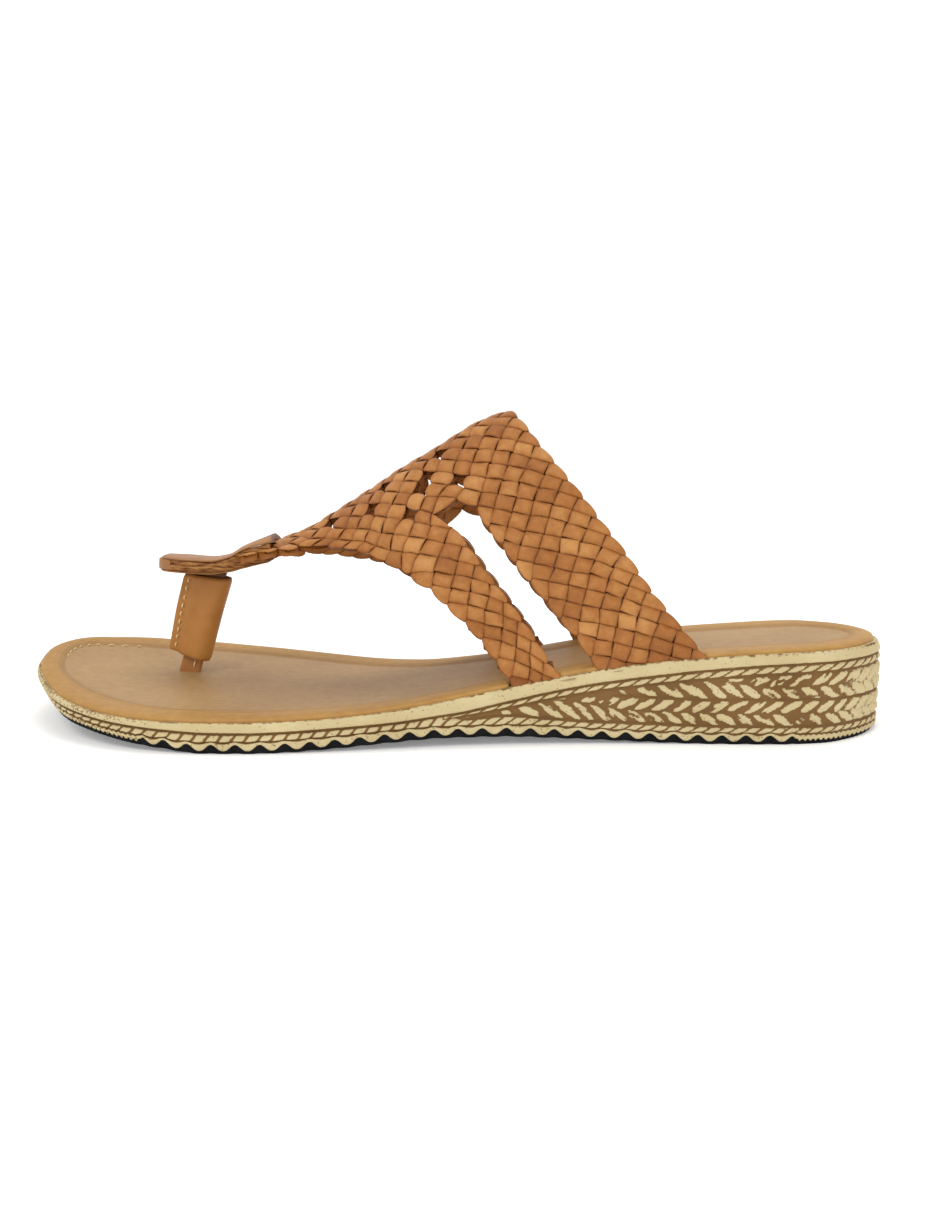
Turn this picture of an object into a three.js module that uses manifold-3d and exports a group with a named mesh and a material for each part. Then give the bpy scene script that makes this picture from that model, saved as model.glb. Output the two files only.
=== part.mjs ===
// Woven leather toe-post sandal for a left foot, in millimetres.
// The toe points to -X, the heel to +X, the outer side to -Y, and the floor is z = 0.
import * as THREE from 'three';
import { mergeVertices } from 'three/addons/utils/BufferGeometryUtils.js';
import Module from 'manifold-3d';

const wasm = await Module();
wasm.setup();

// Driving dimensions
const GAP = 0.3;                  // clearance between pieces that touch
const TOE_TIP = { x: -130.3, y: 11 };
const HEEL_TIP = { x: 123.4, y: 0.3 };
const CENTRING = { x: 3.2, y: -0.8 };  // brings the whole sandal over the origin

const RIB_PITCH = 6.6;            // cross ribs under the sole
const RIB_DEPTH = 1.5;
const RIB_FLAT = 1.6;             // width of the flat crown of a rib that stands on the floor
const RIB_COUNT = 27;
const FIRST_RIB = -79.1;          // X of the crown of the foremost rib
const STANDING_HEIGHT = 0.3;      // ribs lower than this stand on the floor
const RIB_VALLEY = 0.1;           // half of a valley's floor, as a share of the pitch
const RIB_MARGIN = 0.6;           // the cut runs this share of the pitch past the end ribs
const TOE_STATIONS = [-129.9, -128.8, -126.6, -124, -120.5, -116, -111, -105.5, -99.5, -93, -87];
const HEEL_STATIONS = [98.2, 102, 106, 110, 113.5, 116.5, 119, 121, 122.5, 123.2];

const GROOVE_DEPTH = 0.8;         // grooves between the bands of the sole's side
const ROPE_SINK = 0.15;           // rope bands lie this far inside the wide bands
const BAND_CLOSED = 0.02;         // bands lower than this share of the height are shut
const BAND_RUN_OUT = 0.1;         // and they open over this further share
const BAND_BULGE = 0.2;           // roundness of the top band
const EDGE_ROUND = 0.2;           // roundness of the bottom edge
const EDGE_CREST = 0.62;          // where the lowest band stands out furthest
const WALL_PROUD = 0.6;           // the side stands this far outside the top edge
const HEEL_PROUD = 0.4;           // and this much more round the heel
const TOE_TUCK = 3.2;             // the bottom edge is drawn in at the toe and the heel
const TOE_TUCK_RUN = 24;
const HEEL_TUCK = 0.1;
const HEEL_TUCK_RUN = 14;
const SIDE_TUCK = 0.3;
const TUCK_POWER = 1.8;           // the side bulges before it turns in

const FOOTBED_INSET = 0.6;
const RIM_HEIGHT = 1.3;           // crown of the padded rim above the sole's top edge
const FOOTBED_HEIGHT = 0.5;       // inner field above the sole's top edge
const RIM_WIDTH = 11;
const RIM_FULL_WIDTH = 44;        // the rim narrows where the sole is narrower than this
const RIM_LEAST = 0.35;           // but never below this share
const UNDERSIDE_WIDTH = 3;
const FOOTBED_STATIONS = [
  -129.9, -128.8, -126.6, -123, -118, -112, -105, -97, -88, -78, -67, -56, -45, -34, -23, -12,
  -1, 10, 21, 32, 43, 54, 65, 76, 87, 96, 103, 109, 114, 118.2, 120.8, 122.5, 123.2,
];

const WEAVE_WALL = 2.0;           // wall at the crossings of the weave
const TONGUE_WALL = 1.4;          // and where the weave is pressed flat inside the toe tab
const STRIP_RISE = 0.55;          // strips stand this far above the crossings
const OUTER_SKIN = 0.35;          // the crossings lie this far under the outer form
const ACROSS_STEP = 3.3;          // half a diagonal of the weave, along the straps
const SCALLOP = 0.18;             // bulge of an edge strip, as a share of half a diagonal
const SIDE_SCALLOP = 0.25;
const RIDGE_SHARE = 0.7;          // share of a strip's width that its crown takes
const EDGE_CROWN_SHIFT = 0.25;    // crown of an edge cell, moved away from its missing corner
const NORMAL_STEP = 0.8;          // spacing of the places that give the form's normal
const STRAP_INSET = 0.5;          // the straps land this far inside the sole's edge
const ARCH_SPREAD = 0.25;         // how much the straps lean out where they land
const SKEW = 0.14;                // the inner straps land further forward
const REAR_BOW = 1.5;             // hollow of the rear strap's back edge
const REAR_BOW_AT = 75;
const REAR_BOW_SPAN = 24;
const SLOT_SHIFT = 1.0;           // the slot runs back by this much towards its foot
const SLOT_SHIFT_FROM = 54;
const SLOT_SHIFT_RUN = 24;
const SLOT_CORNER = 1.9;          // and forward by this much at its upper front corner
const SLOT_CORNER_REACH = 1.5;    // in nodes
const FRONT_FADE_POWER = 1.5;     // how the front edge's push fades towards the ridge
const FRONT_FADE_NODES = 2.4;     // and down the strap
const ROOM_CLEARANCE = 3;         // room over a strap end in the footbed
const ROOM_EDGE = 0.6;            // bulge of the strap's side that the room takes in
const ROOM_STEPS = 4;
const ROOM_RUN = [-9, -3, 3, 9];  // distances from the landing, along the strap
const LANDING = { from: -20, to: 95, step: 5, depth: -25 };
const LANDING_ACROSS = [-60, -25, 0, 25, 60];

const TAB_LAYER = 1.2;            // leather of the toe tab
const TAB_TOP_FROM = 82;          // where its upper layer begins, behind the fold
const TAB_BOTTOM_FROM = 84.5;
const TAB_FOLD_AT = 117.4;
const TAB_HALF_WIDTH = 11.8;
const TAB_NOSE_RADIUS = 9;
const TAB_NOSE_FULLNESS = 0.92;   // 1 would round the nose off to a point
const TAB_RUNS = 8;
const TAB_FOLD_STEPS = 6;
const TAB_ACROSS = [1, 0.6, 0, -0.6, -1];  // shares of the half width

const POST_WIDTH = 6.6;           // strap between the toes, along the shoe
const POST_THICKNESS = 3.2;
const POST_LEAN = 0.3;            // leans back by this much for each unit of height
const POST_FOOT = { x: -84.9, y: 8.6, z: 10.6 };
const POST_TOP_Y = 9.6;
const POST_RISE = 32;             // height over which it shifts sideways
const POST_CORNER = 1.2;
const POST_CORNER_STEPS = 3;
const POST_TOP = 41.8;            // height where it meets the toe tab
const POST_START = 0.2;           // clearance over the sole
const POST_SLOT = { from: 5, to: 16 };  // heights between which the footbed is cut for it

const SLEEVE_WALL = 1.3;
const SLEEVE_HALF_WIDTH = 3.9;
const SLEEVE_SEAM = 2.4;          // depth of the stitched seam at its front
const SLEEVE_SLIT = 0.6;          // half width of the hollow where it meets the seam
const SLEEVE_SLIT_DEPTH = 0.1;
const SLEEVE_LEVELS = 5;
const SLEEVE_ROUND_STEPS = 8;
const SHOULDER = { back: 0.45, across: 0.75 };  // shares of the radius

const WELD = 1e-4;                // points nearer than this are one point

// Smooth curves through short tables

function monotoneCurve(keys, values) {
  const last = keys.length - 1;
  const steps = keys.slice(1).map((key, n) => key - keys[n]);
  const slopes = steps.map((step, n) => (values[n + 1] - values[n]) / step);
  const tangents = keys.map((key, n) => {
    if (n === 0) return slopes[0];
    if (n === last) return slopes[last - 1];
    if (slopes[n - 1] * slopes[n] <= 0) return 0;
    const before = 2 * steps[n] + steps[n - 1];
    const after = steps[n] + 2 * steps[n - 1];
    return (before + after) / (before / slopes[n - 1] + after / slopes[n]);
  });
  return (key) => {
    if (key <= keys[0]) return values[0] + tangents[0] * (key - keys[0]);
    if (key >= keys[last]) return values[last] + tangents[last] * (key - keys[last]);
    let n = 0;
    while (key > keys[n + 1]) n += 1;
    const t = (key - keys[n]) / steps[n];
    const rise = tangents[n] * steps[n];
    const fall = tangents[n + 1] * steps[n];
    const a = (1 + 2 * t) * (1 - t) * (1 - t);
    const b = t * (1 - t) * (1 - t);
    const c = t * t * (3 - 2 * t);
    const d = t * t * (t - 1);
    return a * values[n] + b * rise + c * values[n + 1] + d * fall;
  };
}

function curvesOf(names, rows) {
  const keys = rows.map((row) => row[0]);
  const curves = {};
  names.slice(1).forEach((name, n) => {
    curves[name] = monotoneCurve(keys, rows.map((row) => row[n + 1]));
  });
  return curves;
}

// Sole sections: half outlines, height of the top edge on each side, and of the bottom
const SOLE = curvesOf(
  ['x', 'lateral', 'medial', 'topLateral', 'topMedial', 'bottom'],
  [
    [-129.9, 6.2, 15.6, 16.7, 16.9, 8.4],
    [-128.8, 1.6, 19.2, 16.4, 17.0, 8.2],
    [-126.6, -6.6, 23.9, 15.8, 17.1, 7.9],
    [-122, -15.9, 29.0, 14.2, 16.8, 7.2],
    [-118, -21.4, 32.8, 12.9, 16.1, 6.5],
    [-112, -28.7, 37.8, 11.5, 15.2, 5.6],
    [-105, -34.3, 42.0, 10.4, 14.1, 4.6],
    [-95, -40.0, 45.4, 9.4, 12.6, 3.2],
    [-85, -43.5, 47.1, 8.9, 11.7, 1.9],
    [-75, -45.3, 47.5, 8.6, 10.8, 0.9],
    [-66, -45.9, 46.9, 8.6, 10.2, 0],
    [-52, -45.3, 44.2, 8.7, 9.5, 0],
    [-45, -44.3, 42.1, 8.8, 9.3, 0.1],
    [-30, -41.7, 36.9, 9.4, 9.1, 0.8],
    [-15, -38.4, 32.3, 10.7, 9.7, 1.8],
    [0, -35.1, 28.8, 13.0, 11.6, 2.5],
    [15, -32.3, 26.8, 15.9, 14.1, 2.4],
    [30, -30.2, 26.1, 18.8, 17.0, 1.7],
    [45, -28.7, 26.1, 21.4, 19.7, 0.9],
    [60, -27.9, 26.7, 23.4, 21.7, 0.3],
    [75, -27.5, 27.3, 24.7, 23.1, 0],
    [90, -26.9, 27.3, 25.7, 24.2, 0],
    [105, -24.1, 25.0, 26.2, 25.2, 0],
    [111, -20.3, 21.3, 26.2, 25.4, 0],
    [115, -16.9, 17.9, 26.1, 25.5, 0],
    [118.2, -13.2, 14.2, 26.0, 25.5, 0],
    [120.8, -9.2, 10.0, 25.9, 25.4, 0],
    [122.5, -5.3, 5.9, 25.7, 25.5, 0],
    [123.2, -2.4, 3.0, 25.6, 25.5, 0],
  ],
);

function soleEdge(side, x) {
  return side < 0 ? SOLE.lateral(x) : SOLE.medial(x);
}

function soleTopEdge(side, x) {
  return side < 0 ? SOLE.topLateral(x) : SOLE.topMedial(x);
}

function soleTop(x, y) {
  const lateral = SOLE.lateral(x);
  const width = SOLE.medial(x) - lateral;
  const share = Math.min(1, Math.max(0, (y - lateral) / width));
  return THREE.MathUtils.lerp(SOLE.topLateral(x), SOLE.topMedial(x), share);
}

// Side bands, as heights shared out between the bottom edge (0) and the top edge (1)
const BANDS = curvesOf(
  ['x', 'bandFoot', 'ropeFoot', 'leafMiddle', 'leafFoot', 'lowRopeFoot'],
  [
    [-125, 0.64, 0.50, 0.49, 0.48, 0.34],
    [-95, 0.69, 0.52, 0.51, 0.50, 0.31],
    [-80, 0.70, 0.52, 0.51, 0.50, 0.32],
    [-52, 0.655, 0.52, 0.51, 0.50, 0.355],
    [-30, 0.665, 0.525, 0.515, 0.505, 0.395],
    [-12, 0.62, 0.515, 0.505, 0.495, 0.37],
    [2, 0.63, 0.53, 0.50, 0.46, 0.29],
    [15, 0.705, 0.585, 0.575, 0.45, 0.237],
    [28, 0.775, 0.665, 0.645, 0.34, 0.20],
    [42, 0.81, 0.71, 0.64, 0.265, 0.145],
    [56, 0.825, 0.74, 0.575, 0.24, 0.127],
    [70, 0.85, 0.79, 0.523, 0.218, 0.113],
    [90, 0.87, 0.815, 0.50, 0.20, 0.10],
    [125, 0.875, 0.81, 0.455, 0.185, 0.09],
  ],
);

// Meshes

class Shell {
  constructor() {
    this.points = [];
    this.faces = [];
  }

  point(vector) {
    this.points.push(vector.x, vector.y, vector.z);
    return this.points.length / 3 - 1;
  }

  face(a, b, c) {
    this.faces.push(a, b, c);
  }

  quad(a, b, c, d) {
    this.face(a, b, c);
    this.face(a, c, d);
  }

  geometry() {
    const geometry = new THREE.BufferGeometry();
    geometry.setAttribute('position', new THREE.Float32BufferAttribute(this.points, 3));
    geometry.setIndex(this.faces);
    return geometry;
  }
}

function solidOf(geometry) {
  const bare = geometry.clone();
  bare.deleteAttribute('normal');
  bare.deleteAttribute('uv');
  const merged = mergeVertices(bare, WELD);
  return new wasm.Manifold(new wasm.Mesh({
    numProp: 3,
    vertProperties: new Float32Array(merged.attributes.position.array),
    triVerts: new Uint32Array(merged.index.array),
  }));
}

function geometryOf(solid) {
  const mesh = solid.getMesh();
  const geometry = new THREE.BufferGeometry();
  geometry.setAttribute('position', new THREE.Float32BufferAttribute(mesh.vertProperties, 3));
  geometry.setIndex(Array.from(mesh.triVerts));
  return geometry;
}

// Outlines seen from above: toe tip, outer side, heel tip, inner side

function outline(stations, inset) {
  const lateral = stations.map((x) => new THREE.Vector2(x, SOLE.lateral(x)));
  const medial = stations.map((x) => new THREE.Vector2(x, SOLE.medial(x))).reverse();
  const loop = [
    new THREE.Vector2(TOE_TIP.x, TOE_TIP.y),
    ...lateral,
    new THREE.Vector2(HEEL_TIP.x, HEEL_TIP.y),
    ...medial,
  ];
  return loop.map((point, n) => {
    const before = loop[(n + loop.length - 1) % loop.length];
    const after = loop[(n + 1) % loop.length];
    const along = after.clone().sub(before).normalize();
    const inward = new THREE.Vector2(-along.y, along.x);
    return {
      point,
      inward,
      moved: (distance) => point.clone().addScaledVector(inward, distance + inset),
    };
  });
}

// Rings of equal length, from the lowest to the highest, closed by caps that join
// each outer-side station to the inner-side station across from it
function loftRings(rings) {
  const shell = new Shell();
  const ids = rings.map((ring) => ring.map((vector) => shell.point(vector)));
  const count = rings[0].length;
  for (let level = 0; level + 1 < ids.length; level += 1) {
    for (let n = 0; n < count; n += 1) {
      const next = (n + 1) % count;
      shell.quad(ids[level][n], ids[level][next], ids[level + 1][next], ids[level + 1][n]);
    }
  }
  const heel = count / 2;
  const bottom = ids[0];
  const top = ids[ids.length - 1];
  for (let n = 0; n < heel; n += 1) {
    const across = (count - n) % count;
    const nextAcross = count - n - 1;
    if (n > 0) shell.face(bottom[n], bottom[across], bottom[n + 1]);
    if (n + 1 < heel) shell.face(bottom[n + 1], bottom[across], bottom[nextAcross]);
    if (n > 0) shell.face(top[n], top[n + 1], top[across]);
    if (n + 1 < heel) shell.face(top[n + 1], top[nextAcross], top[across]);
  }
  return shell.geometry();
}

// Sole

function ribCrowns() {
  return Array.from({ length: RIB_COUNT }, (_, n) => FIRST_RIB + n * RIB_PITCH);
}

function ribStations() {
  const stations = [...TOE_STATIONS, FIRST_RIB - RIB_PITCH / 2];
  for (const crown of ribCrowns()) {
    const stands = SOLE.bottom(crown) < STANDING_HEIGHT;
    if (stands) stations.push(crown - RIB_FLAT / 2, crown + RIB_FLAT / 2);
    else stations.push(crown);
    stations.push(crown + RIB_PITCH / 2);
  }
  return [...stations, ...HEEL_STATIONS];
}

function ribCut(x) {
  const fromCrown = (x - FIRST_RIB) / RIB_PITCH;
  const toValley = Math.abs(fromCrown - Math.floor(fromCrown) - 0.5);
  const underRibs = fromCrown > -RIB_MARGIN && fromCrown < RIB_COUNT - 1 + RIB_MARGIN;
  return underRibs && toValley < RIB_VALLEY ? RIB_DEPTH : 0;
}

// How near a place is to the toe or the heel, from 0 to 1
function nearToe(x) {
  return THREE.MathUtils.clamp(1 - (x - TOE_TIP.x) / TOE_TUCK_RUN, 0, 1);
}

function nearHeel(x) {
  return THREE.MathUtils.clamp(1 - (HEEL_TIP.x - x) / HEEL_TUCK_RUN, 0, 1);
}

function sideInset(x, share) {
  const tuck = SIDE_TUCK + TOE_TUCK * nearToe(x) + HEEL_TUCK * nearHeel(x);
  const proud = WALL_PROUD + HEEL_PROUD * nearHeel(x);
  return tuck * Math.pow(1 - share, TUCK_POWER) - proud;
}

// How far the bands between two of the side's lines have opened, from 0 to 1
function opened(low, high, x) {
  const tall = BANDS[high](x) - BANDS[low](x);
  return THREE.MathUtils.clamp((tall - BAND_CLOSED) / BAND_RUN_OUT, 0, 1);
}

function leafGroove(x) {
  return GROOVE_DEPTH * opened('leafFoot', 'ropeFoot', x);
}

// Levels of the side from the bottom edge to the top one: share of the height, and inset
function sideLevels() {
  const line = (name, inset) => ({ share: (x) => BANDS[name](x), inset });
  const crown = (low, high, inset) => ({
    share: (x) => (BANDS[low](x) + BANDS[high](x)) / 2,
    inset,
  });
  const leaf = (low, high) => crown(low, high, (x) => leafGroove(x) * (1 - opened(low, high, x)));
  return [
    { share: () => 0, inset: () => EDGE_ROUND },
    { share: (x) => BANDS.lowRopeFoot(x) * EDGE_CREST, inset: () => 0 },
    line('lowRopeFoot', () => GROOVE_DEPTH),
    crown('lowRopeFoot', 'leafFoot', () => ROPE_SINK),
    line('leafFoot', leafGroove),
    leaf('leafFoot', 'leafMiddle'),
    line('leafMiddle', leafGroove),
    leaf('leafMiddle', 'ropeFoot'),
    line('ropeFoot', leafGroove),
    crown('ropeFoot', 'bandFoot', () => ROPE_SINK),
    line('bandFoot', () => GROOVE_DEPTH),
    { share: (x) => (BANDS.bandFoot(x) + 1) / 2, inset: () => -BAND_BULGE },
  ];
}

function soleGeometry() {
  const loop = outline(ribStations(), 0);
  const half = loop.length / 2;
  const topEdge = ({ point }, n) => {
    if (n === 0 || n === half) return soleTop(point.x, point.y) - GAP;
    return soleTopEdge(n < half ? -1 : 1, point.x) - GAP;
  };
  const rings = sideLevels().map((level, height) => loop.map((station, n) => {
    const { x } = station.point;
    const base = SOLE.bottom(x);
    const share = level.share(x);
    const cut = height === 0 ? ribCut(x) : 0;
    const place = station.moved(level.inset(x) + sideInset(x, share));
    const z = base + cut + share * (topEdge(station, n) - base);
    return new THREE.Vector3(place.x, place.y, z);
  }));
  rings.push(loop.map((station, n) => {
    const { x, y } = station.point;
    return new THREE.Vector3(x, y, topEdge(station, n));
  }));
  return loftRings(rings);
}

// Footbed

// Rounded rim from the underside to the inner field: distances in from the edge, and heights
const RIM_PROFILE = [
  { inset: UNDERSIDE_WIDTH, height: 0 },
  { inset: 0, height: 0 },
  { inset: 0, height: 0.45 * RIM_HEIGHT },
  { inset: 0.9, height: 0.85 * RIM_HEIGHT },
  { inset: 3.2, height: RIM_HEIGHT },
  { inset: 0.75 * RIM_WIDTH, height: 0.9 * RIM_HEIGHT },
  { inset: RIM_WIDTH, height: FOOTBED_HEIGHT },
];

function rimShare(x) {
  const width = SOLE.medial(x) - SOLE.lateral(x);
  return THREE.MathUtils.clamp(width / RIM_FULL_WIDTH, RIM_LEAST, 1);
}

function footbedRings() {
  const loop = outline(FOOTBED_STATIONS, FOOTBED_INSET);
  return RIM_PROFILE.map((level) => loop.map(({ point, moved }) => {
    const place = moved(level.inset * rimShare(point.x));
    const floor = soleTop(place.x, place.y);
    return new THREE.Vector3(place.x, place.y, floor + level.height);
  }));
}

// Upper: a tunnel of arches that leans back from the ridge, unrolled as (c, s).
// c runs along the ridge from the back edge to the toe, s from the ridge down a side.

const RIDGE_POINTS = [
  [15.3, 2.5, 91.3], [7, 3.1, 88.3], [-2, 3.7, 82.9], [-17, 4.8, 74.1], [-32.4, 6.0, 64.3],
  [-45, 7.0, 56.6], [-54.7, 7.8, 52.6], [-64.5, 8.6, 49.2], [-70.5, 9.0, 46.6],
  [-76, 9.3, 45.6], [-84, 9.6, 46.0], [-94, 9.8, 46.5],
];

function ridgeCurve() {
  const rows = [];
  let run = 0;
  RIDGE_POINTS.forEach((place, n) => {
    const here = new THREE.Vector3(...place);
    if (n > 0) run += here.distanceTo(new THREE.Vector3(...RIDGE_POINTS[n - 1]));
    rows.push([run, ...place]);
  });
  return curvesOf(['c', 'x', 'y', 'z'], rows);
}

const RIDGE = ridgeCurve();

// lean: backward run of a section for each unit of drop; width: share of the sole's width
// that the arch spans; roll: how far the tab drops towards the inner side
const ARCH = curvesOf(
  ['c', 'lean', 'width', 'roll'],
  [
    [0, 0.777, 1, 0],
    [25, 0.75, 1, 0],
    [47, 0.727, 1, 0],
    [55, 0.67, 0.82, 0],
    [62, 0.60, 0.68, 0],
    [70, 0.50, 0.66, 0],
    [75, 0.44, 0.75, 0.01],
    [80, 0.38, 0.9, 0.02],
    [88, 0.25, 1.3, 0.05],
    [96, 0.12, 1.9, 0.06],
    [118, 0.05, 2.0, 0.06],
  ],
);

const ARCH_STEPS = 48;
const ARCH_ROUNDS = 60;           // rounds that settle where a section lands
const ARCH_END_MARGIN = 5;        // landings stay this far from the ends of the sole
const archCache = new Map();

function archOf(c, side) {
  const name = `${c.toFixed(5)} ${side}`;
  if (archCache.has(name)) return archCache.get(name);
  const top = new THREE.Vector3(RIDGE.x(c), RIDGE.y(c), RIDGE.z(c));
  const lean = ARCH.lean(c);
  let footX = top.x;
  for (let n = 0; n < ARCH_ROUNDS; n += 1) {
    const x = THREE.MathUtils.clamp(
      footX,
      TOE_TIP.x + ARCH_END_MARGIN,
      HEEL_TIP.x - ARCH_END_MARGIN,
    );
    const edge = soleEdge(side, x) - side * STRAP_INSET;
    const aim = top.x + lean * (top.z - soleTopEdge(side, x)) - SKEW * (edge - top.y);
    footX = (footX + aim) / 2;
  }
  const span = (soleEdge(side, footX) - side * STRAP_INSET - top.y) * ARCH.width(c);
  const drop = top.z - soleTopEdge(side, footX);
  const points = [];
  const runs = [];
  for (let n = 0; n <= ARCH_STEPS; n += 1) {
    const share = n / ARCH_STEPS;
    const angle = share * Math.PI / 2;
    const out = span * ((1 - ARCH_SPREAD) * Math.sin(angle) + ARCH_SPREAD * share);
    const down = drop * (1 - Math.cos(angle));
    points.push(new THREE.Vector3(
      top.x + lean * down - SKEW * out,
      top.y + out,
      top.z - down - ARCH.roll(c) * out,
    ));
    runs.push(n === 0 ? 0 : runs[n - 1] + points[n].distanceTo(points[n - 1]));
  }
  const arch = { points, runs };
  archCache.set(name, arch);
  return arch;
}

function formPoint(c, s) {
  const { points, runs } = archOf(c, s < 0 ? -1 : 1);
  const along = Math.abs(s);
  let n = 0;
  while (n + 2 < runs.length && along > runs[n + 1]) n += 1;
  const share = (along - runs[n]) / (runs[n + 1] - runs[n]);
  return points[n].clone().lerp(points[n + 1], share);
}

function formNormal(c, s) {
  const alongRidge = formPoint(c + NORMAL_STEP, s).sub(formPoint(c - NORMAL_STEP, s));
  const across = formPoint(c, s + NORMAL_STEP).sub(formPoint(c, s - NORMAL_STEP));
  return across.cross(alongRidge).normalize();
}

function onForm(c, s, rise) {
  return formPoint(c, s).addScaledVector(formNormal(c, s), rise - OUTER_SKIN);
}

// Weave: node (i, j) exists where i + j is even, with i along the ridge and j across it

const NODES_DOWN_A_STRAP = 30;    // runs on past the landing, where it is cut
const LAST_ROW = 34;
const REAR_STRAP_ROWS = 7;
const FRONT_STRAP_FIRST = 10;
const FRONT_STRAP_LAST = 14;
const SLOT_TOP = 8;
const SLOT_LIFT = 0.06;
const SLOT_LIFT_NODES = 2;        // nodes over the slot that are lifted
const LANDING_NODE = 27;          // node near which the straps land
const BEND_NODE = 12;             // where the front edge turns off towards the toe
const TONGUE_NODES = 4;
const PRESSED_FROM = 28;          // row from which the weave is pressed flat
const PRESSED_RISE = 0.02;

const ROWS = curvesOf(
  ['i', 'c'],
  [[0, 0.4], [7, 24.9], [10, 34.6], [14, 46.8], [22, 73.6], [34, 113.6]],
);

// Where the front edge leaves the plain grid: push along the ridge, stretch down the side
const FRONT_EDGE = curvesOf(
  ['i', 'push', 'stretch'],
  [
    [10, 0, 1], [12, 1.5, 1], [13, 2.7, 1], [14, 4.0, 1], [15, 2.5, 1], [16, 1.7, 0.92],
    [17, 0.7, 0.86], [18, 0, 0.815], [19, -0.2, 0.79], [20, 0, 0.75], [21, 0.6, 0.78],
    [22, 1.2, 0.84], [24, 0.6, 0.83], [26, 0, 0.84], [34, 0, 0.80],
  ],
);

const HOLES = [[7, 2], [7, 6], [9, 4], [10, 5], [12, 7], [13, 2], [15, 4], [19, 2]];

function lastNode(i) {
  if (i < 0 || i > LAST_ROW) return -1;
  if (i <= REAR_STRAP_ROWS) return NODES_DOWN_A_STRAP;
  if (i < FRONT_STRAP_FIRST) return SLOT_TOP;
  if (i <= FRONT_STRAP_LAST) return NODES_DOWN_A_STRAP;
  return Math.max(TONGUE_NODES, FRONT_STRAP_LAST + BEND_NODE - i);
}

function isNode(i, j) {
  return Math.abs(j) <= lastNode(i);
}

function isHole(i, j) {
  return HOLES.some(([row, node]) => row === i && node === Math.abs(j));
}

function cornersOf(i, j) {
  return [[i - 1, j], [i, j - 1], [i + 1, j], [i, j + 1]];
}

function hasCell(i, j) {
  if (isHole(i, j)) return false;
  return cornersOf(i, j).filter(([row, node]) => isNode(row, node)).length >= 3;
}

function gridPlace(i, j) {
  const away = Math.abs(j);
  const edgeNode = i <= FRONT_STRAP_LAST
    ? BEND_NODE
    : Math.max(TONGUE_NODES, FRONT_STRAP_LAST + BEND_NODE - i);
  const reach = away / edgeNode;
  const fade = reach <= 1
    ? Math.pow(reach, FRONT_FADE_POWER)
    : Math.exp(-(away - edgeNode) / FRONT_FADE_NODES);
  const rowPush = i >= FRONT_STRAP_FIRST ? FRONT_EDGE.push(i) * fade : 0;
  const front = i > FRONT_STRAP_LAST ? FRONT_EDGE.stretch(i) : 1;
  const betweenStraps = i > REAR_STRAP_ROWS && i < FRONT_STRAP_FIRST;
  const overSlot = betweenStraps && away > SLOT_TOP - SLOT_LIFT_NODES;
  const stretch = 1 + (front - 1) * Math.min(1, reach * reach) - (overSlot ? SLOT_LIFT : 0);
  const s = j * ACROSS_STEP * stretch;
  const rearShare = THREE.MathUtils.clamp(1 - i / REAR_STRAP_ROWS, 0, 1);
  const bowReach = (Math.abs(s) - REAR_BOW_AT) / REAR_BOW_SPAN;
  const bow = REAR_BOW * rearShare * Math.exp(-bowReach * bowReach);
  const low = THREE.MathUtils.clamp((Math.abs(s) - SLOT_SHIFT_FROM) / SLOT_SHIFT_RUN, 0, 1);
  const nearSlot = i <= REAR_STRAP_ROWS ? i / REAR_STRAP_ROWS : FRONT_STRAP_LAST - i;
  const slotShift = i <= FRONT_STRAP_LAST ? -SLOT_SHIFT * low * Math.min(1, nearSlot) : 0;
  const toCorner = Math.hypot(i - FRONT_STRAP_FIRST, away - SLOT_TOP) / SLOT_CORNER_REACH;
  const corner = SLOT_CORNER * Math.exp(-toCorner * toCorner);
  return { c: ROWS.c(i) + rowPush + bow + slotShift + corner, s };
}

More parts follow.
